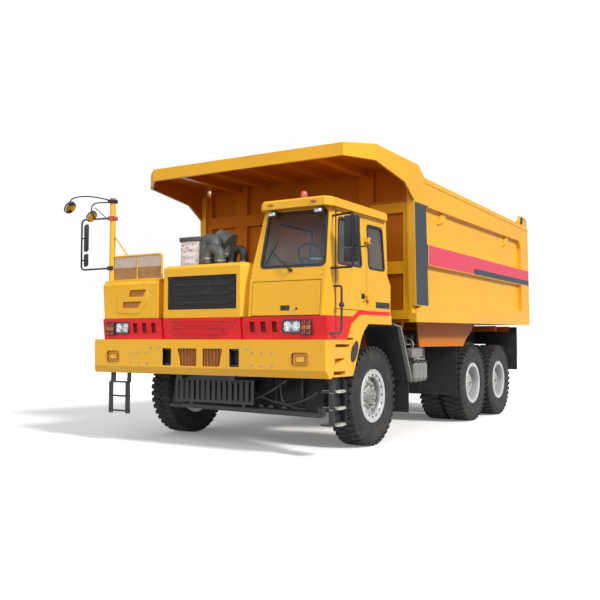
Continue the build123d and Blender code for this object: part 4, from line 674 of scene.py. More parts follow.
add_wires(deck_mesh, (3.9535, -1.6806, 2.310), (3.9565, -1.6754, 2.640), 68, (0, 0.0135, 0))
add_wires(deck_mesh, (3.9535, -1.680, 2.3158), (3.9565, -0.775, 2.3202), 24, (0, 0, 0.0135))
# Painted shade: the backing sheet is the brown of the shaded parts seen through the lower mesh.
backing_shade = Paint("backing_shade", Roughness=0.6)
backing_shade.mottle(8, 4, (0.35, 0.8), (0.60, 0.23, 0.03), (0.48, 0.19, 0.04))
add_block(shade_backing, (3.9515, -1.680, 2.312), (3.9535, -0.780, 2.480))
piece("deck_shade_backing", shade_backing, backing_shade)
mesh_pale = Paint("mesh_pale", Roughness=0.6)
mesh_pale.mottle(10, 4, (0.35, 0.8), (0.48, 0.28, 0.12), (0.36, 0.20, 0.09))
piece("deck_mesh", deck_mesh, mesh_pale)
# Painted shade: flat sheets in the shaded brown behind the box's slots.
for low, high in ((2.047, 2.153), (1.889, 1.990)):
    add_block(slot_shade_sheets, (4.022, -1.430, low), (4.026, -0.950, high))
piece("box_slot_shade_sheets", slot_shade_sheets, shaded_yellow_brown)
add_block(post_clamps, (3.905, -1.770, 3.435), (4.005, -1.672, 3.490), 0.006)
add_block(post_clamps, (3.990, -1.760, 3.440), (4.030, -1.690, 3.485), 0.005)
for z in (3.214, 2.484):
    add_block(post_clamps, (3.990, -1.780, z - 0.030), (4.002, -1.664, z + 0.030), 0.003)
    for y in (-1.748, -1.696):
        add_bolt(post_clamps, (4.001, y, z + 0.018), (1, 0, 0), 0.007)
piece("post_clamps", post_clamps, dark_rubber)
add_rod(deck_bolts, (rail_x, post_y, 3.500), (rail_x, post_y, 3.512), 0.044, 32)
for y in (-1.600, -1.000):
    add_bolt(deck_bolts, (4.049, y, 2.235), (1, 0, 0), 0.009)
for y in (-1.775, -0.780):
    for x in (2.6, 3.0, 3.4, 3.8):
        add_bolt(deck_bolts, (x, y, 2.290), (0, 0, 1), 0.009)
piece("deck_bolts", deck_bolts, coachwork)
for row in range(9):
    for column in range(14):
        x, y = 2.40 + 0.115 * column, -1.70 + 0.105 * row
        slant = Euler((0, 0, 0.8 if (row + column) % 2 else -0.8))
        add_block(deck_tread, (x - 0.030, y - 0.006, 2.289), (x + 0.030, y + 0.006, 2.293), 0.0, slant)
piece("deck_tread_pattern", deck_tread, coachwork)

# Mirrors: black housings, arms and hoop, with silvered glass on the sides that face the driver and
# convex glass in the two round ones.
mirror_glass = Paint("mirror_glass", Metallic=1.0, Roughness=0.03)
mirror_glass.mottle(4, 2, (0.3, 0.8), (0.82, 0.84, 0.86), (0.62, 0.64, 0.66))
glass_faces, arms, housings, brackets = new_meshes(4)
hoop_x, hoop_y, left_arm_x, left_arm_y = 3.985, -2.325, 3.900, 2.200
add_pipe(arms, at_x(hoop_x, ((-1.700, 3.214), (-2.180, 3.232), (hoop_y, 3.232), (hoop_y, 3.090), (hoop_y, 2.620),
                             (hoop_y, 2.484), (-2.180, 2.484), (-1.700, 2.484))), 0.013)
left_arm = at_x(left_arm_x, ((1.850, 2.330), (2.140, 2.330), (left_arm_y, 2.330), (left_arm_y, 2.400),
                             (left_arm_y, 2.930), (left_arm_y, 2.990)))
add_pipe(arms, left_arm + [(3.880, 2.140, 2.990), (3.770, 1.810, 2.990)], 0.014)
add_rod(arms, (left_arm_x, left_arm_y, 2.568), (left_arm_x, 2.368, 2.568), 0.009, 12)
for z in (2.625, 2.955):
    add_rod(arms, (hoop_x, hoop_y, z), (hoop_x, -2.235, z), 0.010, 12)
add_pipe(arms, [(rail_x, post_y, 3.470), (4.080, -1.950, 3.540), (4.200, -2.180, 3.545), (4.275, -2.285, 3.490),
                (4.276, -2.282, 3.395)], 0.009)
add_pipe(arms, [(rail_x, post_y, 3.450), (4.000, -1.900, 3.462), (4.040, -2.030, 3.450), (4.054, -2.070, 3.380),
                (4.052, -2.062, 3.275)], 0.009)
add_rod(arms, (4.030, -2.010, 3.385), (3.985, -1.815, 3.222), 0.006, 10)
for middle, turn, width, height in (
    ((3.985, -2.230, 2.955), -37, 0.190, 0.395), ((3.985, -2.230, 2.625), -37, 0.160, 0.185),
    ((3.865, 2.172, 2.770), 20, 0.190, 0.380), ((3.865, 2.172, 2.478), 20, 0.195, 0.165),
):
    middle, spin = Vector(middle), Euler((0, 0, math.radians(turn)))
    half = Vector((0.026, width / 2, height / 2))
    add_block(housings, middle - half, middle + half, 0.018, spin)
    behind = middle + spin.to_matrix() @ Vector((-0.0265, 0, 0))
    half = Vector((0.002, width / 2 - 0.012, height / 2 - 0.012))
    add_block(glass_faces, behind - half, behind + half, 0.0, spin)
mirror_way = Vector((-0.039, 0.82, -0.572)).normalized()
for middle, radius in (((4.276, -2.270, 3.378), 0.098), ((4.052, -2.058, 3.260), 0.092)):
    for mesh, start, end, foot, tip in ((housings, -0.030, -0.004, 0.55, 0.97), (housings, -0.005, 0.012, 1.0, 0.97),
                                        (glass_faces, 0.011, 0.015, 0.88, 0.84)):
        add_rod(mesh, Vector(middle) + mirror_way * start, Vector(middle) + mirror_way * end, radius * foot, 32,
                radius * tip)
piece("mirror_glasses", glass_faces, mirror_glass)
for name, mesh in (("mirror_housings", housings), ("mirror_arms", arms)):
    made = piece(name, mesh, grille_black)
    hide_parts("mirrors")
bracket_orange = Paint("bracket_orange", Roughness=0.5)
bracket_orange.mottle(20, 3, None, (0.62, 0.11, 0.02), (0.48, 0.08, 0.02))
add_block(brackets, (3.900, -1.775, 3.185), (4.006, -1.669, 3.243), 0.008)
piece("mirror_bracket", brackets, bracket_orange)

# Steps: folded black plates under the bumper's left corner with three punched treads, worn bright on
# top, the hanging ladder of the right side, and a grab rail bent from one bar.
step_black = Paint("step_black", Roughness=0.5)
step_black.mottle(12, 4, (0.45, 0.85), (0.014, 0.014, 0.015), (0.05, 0.047, 0.043))
worn_tread = Paint("worn_tread", Roughness=0.45, Metallic=0.3)
worn_tread.mottle(16, 4, (0.35, 0.7), (0.55, 0.55, 0.53), (0.30, 0.29, 0.27))
treads, tread_pads, ladder, grab_rail = new_meshes(4)
tread_heights, ladder_x = (0.415, 0.615, 0.820), 3.990
for z in tread_heights:
    add_block(treads, (3.590, 1.745, z - 0.015), (3.880, 1.946, z + 0.013), 0.003)
    add_wires(tread_pads, (3.600, 1.765, z + 0.012), (3.872, 1.790, z + 0.018), 5, (0, 0.038, 0))
    add_plate(tread_pads, at_y(1.944, ((3.596, z), (3.672, z - 0.016), (3.800, z - 0.016), (3.878, z),
                                       (3.800, z + 0.020), (3.672, z + 0.020))), (0, 0.010, 0), 0.002)
    for y in (1.880, 1.900, 1.920):
        add_rod(tread_pads, (3.889, y, z - 0.012), (3.893, y, z - 0.012), 0.006, 8)
for x in (3.580, 3.880):
    add_plate(treads, at_x(x, ((1.862, 0.395), (1.942, 0.395), (1.942, 0.920), (1.900, 0.985), (1.830, 0.985),
                               (1.862, 0.920))), (0.010, 0, 0), 0.002)
add_block(treads, (3.585, 1.862, 0.400), (3.885, 1.868, 0.985))
step_piece = piece("step_plates", treads, step_black)
piece("step_tread_pads", tread_pads, worn_tread)
for y0, y1, y2, y3 in ((-1.705, -1.625, -1.665, -1.575), (-1.385, -1.300, -1.350, -1.280)):
    add_plate(ladder, at_x(ladder_x, ((y0, 0.410), (y1, 0.410), (y1, 0.840), (y3, 0.870), (y3, 0.985), (y2, 0.985),
                                      (y2, 0.870), (y0, 0.840))), (0.012, 0, 0), 0.002)
for z, low, high in ((0.446, -1.700, -1.305), (0.654, -1.700, -1.305), (0.853, -1.690, -1.310)):
    add_block(ladder, (3.975, low, z - 0.012), (4.012, high, z + 0.012), 0.004)
    for y in (low + 0.035, high - 0.035):
        add_bolt(ladder, (4.002, y, z + 0.036), (1, 0, 0), 0.009)
grab_x, grab_y = 3.840, 2.015
add_pipe(grab_rail, [(3.985, 1.905, 1.535), (3.930, 1.960, 1.535), (3.860, 2.012, 1.540), *at_x(grab_x, (
    (grab_y, 1.570), (grab_y, 1.800), (grab_y, 2.060), (2.012, 2.110), (1.960, 2.112), (1.850, 2.106)))], 0.0135)
grab_knob = Matrix.Translation((grab_x, grab_y, 1.880))
bmesh.ops.create_uvsphere(grab_rail, u_segments=20, v_segments=12, radius=0.034, matrix=grab_knob)
for name, mesh in (("side_ladder", ladder), ("grab_rail", grab_rail)):
    piece(name, mesh, step_black)
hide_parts("steps")

# Cab glass seals, wiper and blank strips: black rubber grips the edge of each opening, the wiper stands
# on the sheet under the windscreen, and two bare strips are stuck on the glass and the hatch.
sill_z = 2.336


def on_side(x, z, proud=0.0):
    """A point on the cab's left side, proud of it."""
    return (x, 1.918 - 0.0587 * (z - sill_z) + proud, z)


def on_front(y, z, proud=0.0):
    """A point on the windscreen's plane, proud of it."""
    return (3.985 - 0.2041 * (z - sill_z) + proud, y, z)


def grown(points, by):
    """Corners pushed out from their middle, each way by a length."""
    middle = [sum(values) / len(points) for values in zip(*points)]
    return [
        tuple(value + math.copysign(by, value - centre) for value, centre in zip(point, middle))
        for point in points
    ]


seals, door_seals, wiper, strip = new_meshes(4)
screen = grown([(0.925, 2.368), (1.856, 2.368), (1.812, 3.056), (0.955, 3.056)], 0.020)
add_frame(seals, [on_front(y, z, -0.020) for y, z in screen], 0.070, 0.036, (0.0255, 0, 0.005))
for mesh, pane in ((seals, [(2.430, 2.400), (2.915, 2.400), (2.905, 2.985), (2.445, 2.985)]),
                   (door_seals, [(3.110, 2.400), (3.752, 2.400), (3.672, 2.990), (3.132, 2.990)])):
    add_frame(mesh, [on_side(x, z, -0.020) for x, z in grown(pane, 0.012)], 0.064, 0.030, (0, 0.025, 0.0015))
inner_pane = grown([(2.620, 2.500), (3.560, 2.500), (3.560, 3.000), (2.620, 3.000)], 0.012)
add_frame(seals, [(x, 0.800 + 0.1339 * (z - sill_z), z) for x, z in inner_pane], 0.064, 0.030, (0, -0.025, 0.003))
rear_pane = grown([(1.010, 2.480), (1.680, 2.480), (1.680, 2.960), (1.010, 2.960)], 0.012)
add_frame(seals, [(2.370 - 0.0676 * (z - sill_z), y, z) for y, z in rear_pane], 0.064, 0.030, (-0.025, 0, -0.0015))
piece("window_seals", seals, dark_rubber)
piece("door_window_seal", door_seals, dark_rubber, "cab_door")
for start, end, radius, sides in (
    ((1.382, 2.318, -0.004), (1.382, 2.318, 0.040), 0.020, 16),
    ((1.382, 2.318, 0.036), (1.230, 2.440, 0.034), 0.011, 8),
    ((1.230, 2.440, 0.034), (1.086, 2.563, 0.030), 0.008, 8),
    ((0.992, 2.392, 0.020), (1.170, 2.745, 0.020), 0.006, 8),
    ((1.000, 2.408, 0.014), (1.162, 2.729, 0.014), 0.005, 8),
):
    add_rod(wiper, on_front(*start), on_front(*end), radius, sides)
wiper_foot, wiper_top = on_front(1.086, 2.563, 0.014)[0], on_front(1.086, 2.563, 0.042)[0]
add_block(wiper, (wiper_foot, 1.070, 2.548), (wiper_top, 1.102, 2.578), 0.004)
piece("wiper", wiper, dark_rubber)
strip_corners = ((1.622, 2.446), (1.803, 2.436), (1.803, 2.456), (1.622, 2.466))
add_plate(strip, [on_front(y, z, -0.030) for y, z in strip_corners], (0.002, 0, 0))
add_plate(strip, [(4.034, 1.560, 1.772), (4.034, 1.760, 1.772), (4.031, 1.760, 1.800), (4.031, 1.560, 1.800)],
          (0.004, 0, 0))
blank_silver = Paint("blank_silver", Roughness=0.4, Metallic=0.3)
blank_silver.mottle(40, 3, None, (0.62, 0.60, 0.58), (0.48, 0.46, 0.44))
piece("blank_strips", strip, blank_silver)

# Cab fittings: a dark blank plate behind the door, a dark oval plate on the arch as painted shade in its hand
# hole, the door's handle and lock, the hatch's recess and lock, a rain gutter over the door, and rubber in the
# gaps round both.
fittings, door_fittings, hatch_fittings, gaps, trim, hatch_line = new_meshes(6)
plate_corners = ((2.290, 1.885), (2.705, 1.885), (2.705, 1.965), (2.290, 1.965))
add_plate(fittings, at_y(1.916, plate_corners), (0, 0.006, 0), 0.0, 0.006)
add_block(door_fittings, (3.030, 1.912, 1.985), (3.130, 1.922, 2.060), 0.006)
add_block(door_fittings, (3.045, 1.918, 2.010), (3.120, 1.940, 2.028), 0.005)
add_rod(door_fittings, (3.068, 1.915, 1.955), (3.068, 1.926, 1.955), 0.010, 12)
add_block(hatch_fittings, (4.018, 1.255, 1.812), (4.0405, 1.390, 1.880), 0.004)
add_rod(hatch_fittings, (4.020, 1.492, 1.838), (4.048, 1.492, 1.838), 0.014, 14)
add_block(hatch_fittings, (4.040, 1.487, 1.826), (4.052, 1.497, 1.850), 0.002)
# Painted shade: the dark oval plate stands for the shaded inside of the arch's hand hole.
oval_sides, oval_slope = 28, (0.459, 0.889)
hand_hole_shade = []
for turn in [step * math.tau / oval_sides for step in range(oval_sides)]:
    along, across = 0.145 * math.cos(turn), 0.074 * math.sin(turn)
    hand_hole_shade.append((3.363 + along * oval_slope[0] + across * oval_slope[1],
                      1.310 - along * oval_slope[1] + across * oval_slope[0]))
add_plate(fittings, at_y(1.9305, hand_hole_shade), (0, 0.0165, 0))
piece("cab_plate", fittings, dark_rubber)
piece("door_handle", door_fittings, dark_rubber, "cab_door")
piece("hatch_recess", hatch_fittings, dark_rubber, "cab_hatch")
for start, end in (((3.806, 1.912, 1.80), (3.806, 1.912, 2.33)),
                   (on_side(3.806, 2.33, -0.006), on_side(3.718, 3.060, -0.006)),
                   (on_side(3.718, 3.062, -0.006), on_side(2.985, 3.066, -0.006))):
    add_rod(gaps, start, end, 0.0065, 8)
piece("door_rubber", gaps, dark_rubber)
add_block(trim, (2.36, 1.868, 3.086), (3.76, 1.902, 3.098), 0.004)
for y in (0.80, 1.84):
    for z in (2.255, 2.310):
        add_bolt(trim, (3.993 + (2.31 - z) * 0.2, y, z), (1, 0, 0.1), 0.006)
piece("cab_gutters", trim, coachwork)
for y in (0.812, 1.820):
    add_block(hatch_line, (3.985, y, 1.756), (4.004, y + 0.008, 2.190))
piece("hatch_gap_strips", hatch_line, dark_rubber)

# Driver's seat: two padded cushions in dark red cloth on the seat's frame, crowned, with a sewn
# border and two channels down the middle.
seat_cloth = Paint("seat_cloth", Roughness=0.9)
seat_cloth.mottle(14, 4, (0.35, 0.8), (0.34, 0.03, 0.035), (0.22, 0.02, 0.025))
seat_cloth.bump(seat_cloth.noise(900, 2), 0.0006)


def add_cushion(mesh, low, high, turn):
    """Add a crowned pad with its sides drawn in, turned about its middle."""
    low, high = Vector(low), Vector(high)
    made = bmesh.ops.create_cube(mesh, size=1)
    round_edges(mesh, {edge for vert in made["verts"] for edge in vert.link_edges}, 0.12, 4)
    bmesh.ops.subdivide_edges(mesh, edges=mesh.edges, cuts=2, use_grid_fill=True, smooth=0.0)
    for vert in mesh.verts:
        u, v, w = vert.co
        crown = (1 - (2 * v) ** 2) * (1 - (2 * w) ** 2)
        channel = math.exp(-((abs(v) - 0.22) / 0.03) ** 2) * 0.12
        spot = Vector((u * (0.8 + 0.2 * crown - channel), v * (1 - 0.06 * (2 * u) ** 2), w)) * (high - low)
        vert.co = (low + high) / 2 + turn.to_matrix() @ spot


seat_back, seat_pad = new_meshes(2)
add_cushion(seat_back, (2.555, 1.115, 2.205), (2.735, 1.605, 2.880), Euler((0, math.radians(-7), 0)))
add_cushion(seat_pad, (2.857, 1.098, 1.885), (3.033, 1.622, 2.415), Euler((0, math.radians(90), 0)))
for name, mesh in (("seat_back_cushion", seat_back), ("seat_pad_cushion", seat_pad)):
    pad = piece(name, mesh, seat_cloth, sharp=70)

# Chassis, axles, springs, steering, drive and hoist: rolled and cast steel in black frame paint, with
# road dust that has settled in its hollows.
frame_paint = Paint("frame_black", Roughness=0.55)
frame_dust = frame_paint.ramp(frame_paint.noise(6, 6), 0.5, 0.85)
frame_paint.give(
    Base_Color=frame_paint.mixed(frame_dust * 0.5, (0.020, 0.021, 0.022, 1), (0.085, 0.075, 0.062, 1)),
    Roughness=0.45 + frame_dust * 0.35,
)
frame_paint.bump(frame_paint.noise(70, 3), 0.0008, 0.004)
clothe(frame_paint, "chassis_frame", "springs", "front_axle", "rear_axles", "driveline", "knuckle_left",
       "knuckle_right", "tie_rod", "tanks", "battery_box", "exhaust", "hoist_barrels", "radiator")

# Black plastic and rubber: moulded arch liners, hanging flaps, the grille's frame and the inside of the
# cab, all with a fine grain.
black_trim = Paint("trim_black", Roughness=0.6)
black_trim.mottle(11, 4, (0.5, 0.9), (0.012, 0.012, 0.013), (0.05, 0.047, 0.043))
black_trim.bump(black_trim.noise(420, 2), 0.0004, 0.003)
clothe(black_trim, "bed_flaps", "arch_liners", "grille", "mirrors", "steps", "cab_interior")

# Grey fittings: the mudguards behind the front wheels and the engine, painted mid grey and dusty, and
# the air cleaner's own housing under its wrap.
grey_paint = Paint("fittings_grey", Roughness=0.5)
grey_paint.mottle(7, 5, (0.45, 0.85), (0.22, 0.225, 0.22), (0.15, 0.145, 0.13))
grey_paint.bump(grey_paint.noise(120, 2), 0.0005, 0.005)
clothe(grey_paint, "mudguards", "engine", "air_cleaner")

# Hoist rods: steel bars, plated with chrome and ground, that slide out of the barrels as the bed
# rises.
chrome = Paint("rod_chrome", Metallic=1.0)
chrome.mottle(30, 3, (0.4, 0.8), (0.80, 0.80, 0.82), (0.62, 0.62, 0.63))
chrome.give(Roughness=0.1 + chrome.noise(60, 2) * 0.1)
clothe(chrome, "hoist_rods")

# Glass: tinted flat panes held by the rubber seals. The windscreen is painted darker along its top edge,
# a painted shade that fades downwards.
glass = Paint("window_glass", Roughness=0.04, Alpha=0.28, Coat_Weight=0.3)
glass_x, _, glass_z = glass.axes()
glass_tint = glass.mixed(glass.ramp(glass.noise(3, 3), 0.35, 0.8), (0.12, 0.17, 0.20, 1), (0.16, 0.21, 0.24, 1))
# Painted shade: the windscreen darker towards its top edge.
glass_shade = glass.ramp(glass_z, 2.45, 2.95) * (glass_x > 3.77) * 0.9
glass.give(Base_Color=glass.mixed(glass_shade, glass_tint, (0.012, 0.02, 0.03, 1)))
clothe(glass, "cab_glass", "door_glass")

# Tyres: wide rock tyres with two rows of slanted shoulder lugs that wrap onto the flank, a broken
# rib between them, and moulded rings on the flank. Each stands where its solid stands.
rubber = Paint("tyre_rubber", Roughness=0.8)
rubber_dirt = rubber.ramp(rubber.noise(7, 5), 0.45, 0.8)
rubber.give(
    Base_Color=rubber.mixed(rubber_dirt * 0.7, (0.016, 0.016, 0.017, 1), (0.060, 0.054, 0.047, 1)),
    Roughness=0.66 + rubber.noise(24, 3) * 0.25,
)
rubber.bump(rubber.noise(140, 3), 0.0006)
axle_height = 0.684
lug_count = 40
tyre_flank = [(0.151, 0.319), (0.151, 0.371), (0.162, 0.384), (0.176, 0.402), (0.178, 0.412), (0.184, 0.420),
              (0.1865, 0.470), (0.1875, 0.505), (0.1865, 0.545), (0.1825, 0.552), (0.1815, 0.585), (0.177, 0.592),
              (0.170, 0.630), (0.158, 0.652), (0.140, 0.661), (0.060, 0.665)]
tyre, lugs = new_meshes(2)
section = [(0, across, radius) for across, radius in tyre_flank]
section += [(0, -across, radius) for across, radius in reversed(tyre_flank)]
add_turned(tyre, section, (0, 0, 0), (0, 1, 0), 80, True)
bmesh.ops.recalc_face_normals(tyre, faces=tyre.faces)
for way in (1, -1):
    half_pitch = Matrix.Rotation(0.0 if way > 0 else math.pi / lug_count, 4, "Y")
    for middle, size, skew in (((0, 0.112 * way, 0.668), (0.062, 0.112, 0.030), 0.16 * way),
                               ((0.006, 0.170 * way, 0.651), (0.060, 0.026, 0.046), 0.0),
                               ((0.016, 0.030 * way, 0.668), (0.074, 0.044, 0.030), -0.45 * way)):
        place = half_pitch @ Matrix.Translation(middle) @ Matrix.Rotation(skew, 4, "Z")
        made = bmesh.ops.create_cube(lugs, size=1, matrix=place @ Matrix.Diagonal((*size, 1)))
        round_edges(lugs, {edge for vert in made["verts"] for edge in vert.link_edges}, 0.005, 1)


def ring_of(mesh, count, fresh):
    """Repeat what was just added round the wheel's axle."""
    edges = {edge for vert in fresh for edge in vert.link_edges}
    faces = {face for vert in fresh for face in vert.link_faces}
    bmesh.ops.spin(mesh, geom=[*fresh, *edges, *faces], cent=(0, 0, 0), axis=(0, 1, 0),
                   angle=math.tau * (count - 1) / count, steps=count - 1, use_duplicate=True)


ring_of(lugs, lug_count, list(lugs.verts))
lug_mesh = bpy.data.meshes.new("lugs")
lugs.to_mesh(lug_mesh)
lugs.free()
tyre.from_mesh(lug_mesh)
tyre_mesh = bpy.data.meshes.new("tyre")
tyre.to_mesh(tyre_mesh)
tyre.free()
axles = {"front": 2.400, "mid": -1.715, "rear": -3.205}
front_wheel_y, inner_wheel_y, outer_wheel_y = 1.557, 1.098, 1.528
wheels = []
for place, x in axles.items():
    for name, side in (("left", 1), ("right", -1)):
        wheels.append((f"{place}_{name}", side, x, "" if place == "front" else "s"))
for name, side, x, many in wheels:
    mesh = bmesh.new()
    for y in (inner_wheel_y, outer_wheel_y) if many else (front_wheel_y,):
        known = set(mesh.verts)
        mesh.from_mesh(tyre_mesh)
        fresh = [vert for vert in mesh.verts if vert not in known]
        bmesh.ops.translate(mesh, verts=fresh, vec=(x, side * y, axle_height))
    made = piece(f"rubber_{name}", mesh, rubber, f"wheel{many}_{name}")
    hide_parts(f"tyre{many}_{name}")

# Rims and hubs: silver painted steel on ten studs, with a lock ring in the outer flange, rivets round
# the disc, a valve, and a bolted cap on the hub. Grease and dust gather round the nuts.
rim_paint = Paint("rim_silver", Metallic=0.4)
rim_dirt = rim_paint.ramp(rim_paint.noise(9, 5), 0.48, 0.8)
rim_paint.give(
    Base_Color=rim_paint.mixed(rim_dirt * 0.3, (0.56, 0.57, 0.58, 1), (0.26, 0.24, 0.21, 1)),
    Roughness=0.34 + rim_dirt * 0.3,
)
rim_paint.bump(rim_paint.noise(90, 2), 0.0004, 0.004)
hub_steel = Paint("hub_steel", Metallic=0.55)
hub_steel.mottle(30, 4, (0.4, 0.75), (0.34, 0.34, 0.33), (0.07, 0.065, 0.06))
hub_steel.give(Roughness=0.35 + hub_steel.noise(40, 2) * 0.2)
clothe(rim_paint, *[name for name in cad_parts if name.startswith("rim")])


def hub_set(disc, nut_ring, cap, cap_radius):
    """Nuts and cap bolts, rivets and valve, and lock ring of one wheel, as (steel, dark, silver) meshes.

    The disc's face and the cap's face are measured outwards from the wheel's middle.
    """
    steel, dark, silver = new_meshes(3)
    for start, end, radius, sides, tip in ((-0.002, 0.007, 0.026, 18, None), (0.006, 0.032, 0.0185, 6, None),
                                           (0.030, 0.048, 0.011, 10, 0.009)):
        add_rod(steel, (0, disc + start, nut_ring), (0, disc + end, nut_ring), radius, sides, tip)
    ring_of(steel, 10, list(steel.verts))
    known = set(steel.verts)
    add_rod(steel, (0, cap - 0.002, cap_radius - 0.020), (0, cap + 0.010, cap_radius - 0.020), 0.0085, 6)
    ring_of(steel, 8, [vert for vert in steel.verts if vert not in known])
    add_rod(steel, (0, cap - 0.01, 0), (0, cap + 0.012, 0), cap_radius * 0.62, 32, cap_radius * 0.50)
    add_rod(steel, (0, cap + 0.010, 0), (0, cap + 0.022, 0), 0.020, 6)
    if disc > 0:
        add_rod(dark, (0, 0.148, 0.286), (0, 0.1575, 0.286), 0.0155, 12)
        ring_of(dark, 16, list(dark.verts))
        add_rod(steel, (0, cap - 0.002, 0), (0, cap + 0.004, 0), cap_radius * 0.94, 36)
    inner = 0.262 if disc > 0 else 0.3045
    lock_ring = [(0.152, 0.341), (0.166, 0.343), (0.171, 0.350), (0.1715, 0.360), (0.166, 0.3675), (0.153, 0.3685)]
    rim_step = [(0.120, inner - 0.004), (0.148, inner), (0.1535, inner + 0.006), (0.1535, 0.342), (0.140, 0.342),
                (0.128, 0.312)]
    for section in (lock_ring, rim_step):
        add_turned(silver, [(0, across, radius) for across, radius in section], (0, 0, 0), (0, 1, 0), 64, True)
    add_rod(dark, (0.080, disc + 0.01, 0.255), (0.100, disc + 0.070, 0.290), 0.006, 8)
    return steel, dark, silver


front_hub, rear_hub = (0.076, 0.165, 0.143, 0.105), (-0.199, 0.212, 0.102, 0.120)
for name, side, x, many in wheels:
    centre, sizes = (outer_wheel_y, rear_hub) if many else (front_wheel_y, front_hub)
    finishes = (hub_steel, dark_rubber, rim_paint)
    for kind, mesh, finish in zip(("nuts", "rivets", "lock_ring"), hub_set(*sizes), finishes):
        bmesh.ops.translate(mesh, verts=mesh.verts, vec=(0, centre, 0))
        if side < 0:
            bmesh.ops.scale(mesh, verts=mesh.verts, vec=(1, -1, 1))
        bmesh.ops.translate(mesh, verts=mesh.verts, vec=(x, 0, axle_height))
        piece(f"{kind}_{name}", mesh, finish, f"wheel{many}_{name}")

# Underneath: a black splash guard with its ribs, hung from the frame ahead of the axle, in part a dark plate of
# painted shade for the dark mass under the front, a cross bar with the hoses behind it, two dampers, brake
# chambers with their pipes, and the leaves of the front springs.
spring_y, brake_x, brake_z = 0.445, 2.640, 0.660
belly = bmesh.new()
# Partly painted shade: the guard plate darkens the shaded space under the front.
add_plate(belly, [(3.420, -1.020, 0.520), (3.420, 1.500, 0.480), (3.300, 1.500, 0.985), (3.300, -1.020, 0.985)],
          (0.006, 0, 0.002))
add_block(belly, (3.400, -1.020, 0.470), (3.470, 1.500, 0.520), 0.008, Euler((-0.016, 0, 0)))
for y in (-0.80, -0.40, 0.0, 0.40, 0.80, 1.20):
    add_block(belly, (3.330, y - 0.020, 0.520), (3.430, y + 0.020, 0.960), 0.004)
add_rod(belly, (3.640, -0.62, 0.560), (3.640, 1.640, 0.520), 0.034, 18)
for route in ([(3.520, 0.250, 0.930), (3.560, 0.500, 0.760), (3.580, 0.850, 0.640), (3.600, 1.250, 0.610),
               (3.620, 1.560, 0.800)],
              [(3.500, -0.300, 0.940), (3.540, -0.100, 0.700), (3.560, 0.300, 0.610), (3.580, 0.700, 0.700),
               (3.560, 1.050, 0.930)],
              [(3.560, 0.950, 0.940), (3.600, 0.980, 0.700), (3.600, 1.100, 0.580), (3.560, 1.350, 0.560)]):
    add_pipe(belly, route, 0.022)
for y in (0.700, 0.860, 1.060):
    add_rod(belly, (3.560, y, 0.560), (3.640, y, 0.560), 0.045, 16)
add_block(belly, (3.560, 1.610, 0.480), (3.720, 1.640, 0.620), 0.004)
for side in (1, -1):
    add_block(belly, (3.300, side * spring_y - 0.030, 0.900), (3.420, side * spring_y + 0.030, 0.985), 0.005)
    add_block(belly, (3.600, side * spring_y - 0.025, 0.540), (3.680, side * spring_y + 0.025, 0.930), 0.004)
    add_rod(belly, (2.900, side * 0.560, 0.760), (3.360, side * 0.640, 0.900), 0.055, 18)
    add_rod(belly, (brake_x, side * 0.98, brake_z), (brake_x, side * 0.84, brake_z), 0.085, 24)
    add_rod(belly, (brake_x, side * 0.84, brake_z), (brake_x, side * 0.80, brake_z), 0.085, 24, 0.050)
    add_pipe(belly, [(brake_x, side * 0.80, 0.700), (2.700, side * 0.65, 0.860), (2.900, side * 0.50, 0.960),
                     (3.300, side * 0.42, 1.000)], 0.012)
    for leaf in range(7):
        reach, eye = 0.78 - 0.085 * leaf, 0.900 - 0.018 * leaf
        ends = [(2.400 + way * reach, eye + reach * reach * 0.10) for way in (-1, 1)]
        inner = [(2.400 + way * reach / 2, eye - 0.028) for way in (-1, 1)]
        add_pipe(belly, at_y(side * spring_y, (ends[0], *inner, ends[1])), 0.0085)
piece("belly_guard_and_shade", belly, frame_paint)

# Left side behind the front wheel: three fuel filters, a valve box with its pipes and bracket over
# them, and straps round the tanks. Black plates of painted shade fill the dark gaps inboard of and behind the
# rear wheels and under the bed's sides, and bolted plates close the corners of the bed's tail.
filter_y = 1.610
filters, tank_black, pipes, shade_fill, bed_shade_fill, bed_corner, bed_bolts = new_meshes(7)
for x in (0.425, 0.590, 0.755):
    for mesh, low, high, radius, sides, tip in (
        (filters, 0.860, 1.075, 0.078, 28, None), (filters, 0.810, 0.861, 0.050, 28, 0.078),
        (filters, 1.075, 1.100, 0.078, 28, 0.060), (pipes, 1.098, 1.160, 0.020, 14, None),
    ):
        add_rod(mesh, (x, filter_y, low), (x, filter_y, high), radius, sides, tip)
add_block(tank_black, (0.340, 1.550, 1.110), (0.860, 1.670, 1.128), 0.004)
add_block(filters, (0.527, 1.560, 1.179), (0.932, 1.665, 1.328), 0.012)
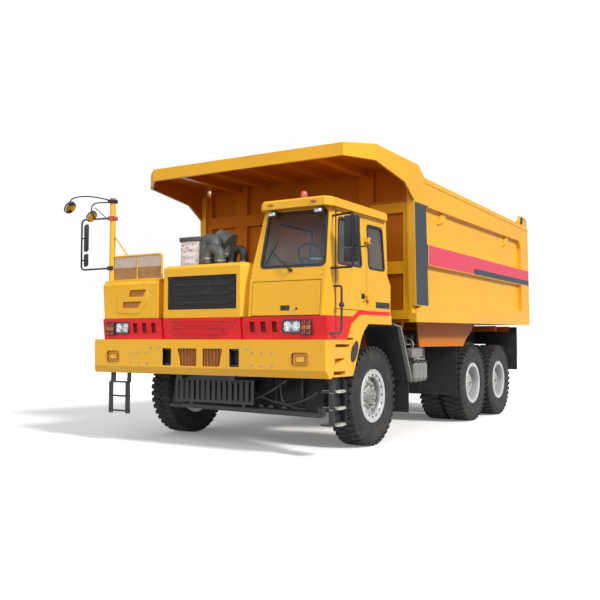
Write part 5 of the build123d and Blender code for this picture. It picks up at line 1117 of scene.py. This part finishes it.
add_block(filters, (0.523, 1.560, 1.379), (1.030, 1.600, 1.400), 0.004)
for x in (0.523, 0.760, 1.010):
    add_block(filters, (x, 1.560, 1.379), (x + 0.020, 1.600, 1.530), 0.003)
for radius, route in (
    (0.013, [(0.420, 1.640, 1.140), (0.470, 1.680, 1.175), (0.620, 1.690, 1.150), (0.760, 1.680, 1.180),
             (0.870, 1.660, 1.160)]),
    (0.012, [(0.560, 1.600, 1.330), (0.560, 1.640, 1.400), (0.560, 1.620, 1.480), (0.560, 1.500, 1.540)]),
    (0.012, [(0.820, 1.600, 1.330), (0.820, 1.650, 1.380), (0.840, 1.600, 1.470), (0.860, 1.480, 1.520)]),
):
    add_pipe(pipes, route, radius)
for side in (1, -1):
    for x in (0.445, 0.805):
        add_block(tank_black, (x - 0.022, side * 0.994, 0.794), (x + 0.022, side * 1.626, 1.356), 0.05)
    # Painted shade: black plates fill the shaded gaps round the rear wheels and under the bed.
    add_block(shade_fill, (-4.108, side * 0.884, 1.200), (-1.020, side * 0.890, 1.625))
    add_block(shade_fill, (-4.112, side * 0.800, 1.380), (-4.104, side * 1.800, 1.735))
    add_block(bed_shade_fill, (-3.600, side * 1.056, 1.600), (-1.200, side * 1.062, 1.772))
    corner_plate = ((-3.960, 3.852), (-3.818, 3.852), (-3.880, 3.992), (-3.960, 3.992))
    add_plate(bed_corner, at_y(side * 1.974, corner_plate), (0, side * 0.016, 0))
    for x, z in ((-4.000, 3.965), (-4.090, 3.965), (-4.180, 3.965), (-4.250, 3.870), (-4.250, 3.930)):
        add_bolt(bed_bolts, (x, side * 1.975, z), (0, side, 0), 0.016)
piece("fuel_filters", filters, grey_paint)
piece("filter_pipes", pipes, bolt_steel)
piece("tank_straps", tank_black, frame_paint)
piece("wheel_shade_fill_plates", shade_fill, frame_paint)
piece("bed_shade_fill_plates", bed_shade_fill, frame_paint, "bed")
piece("bed_corner_plates", bed_corner, frame_paint, "bed")
piece("bed_corner_bolts", bed_bolts, bolt_steel, "bed")
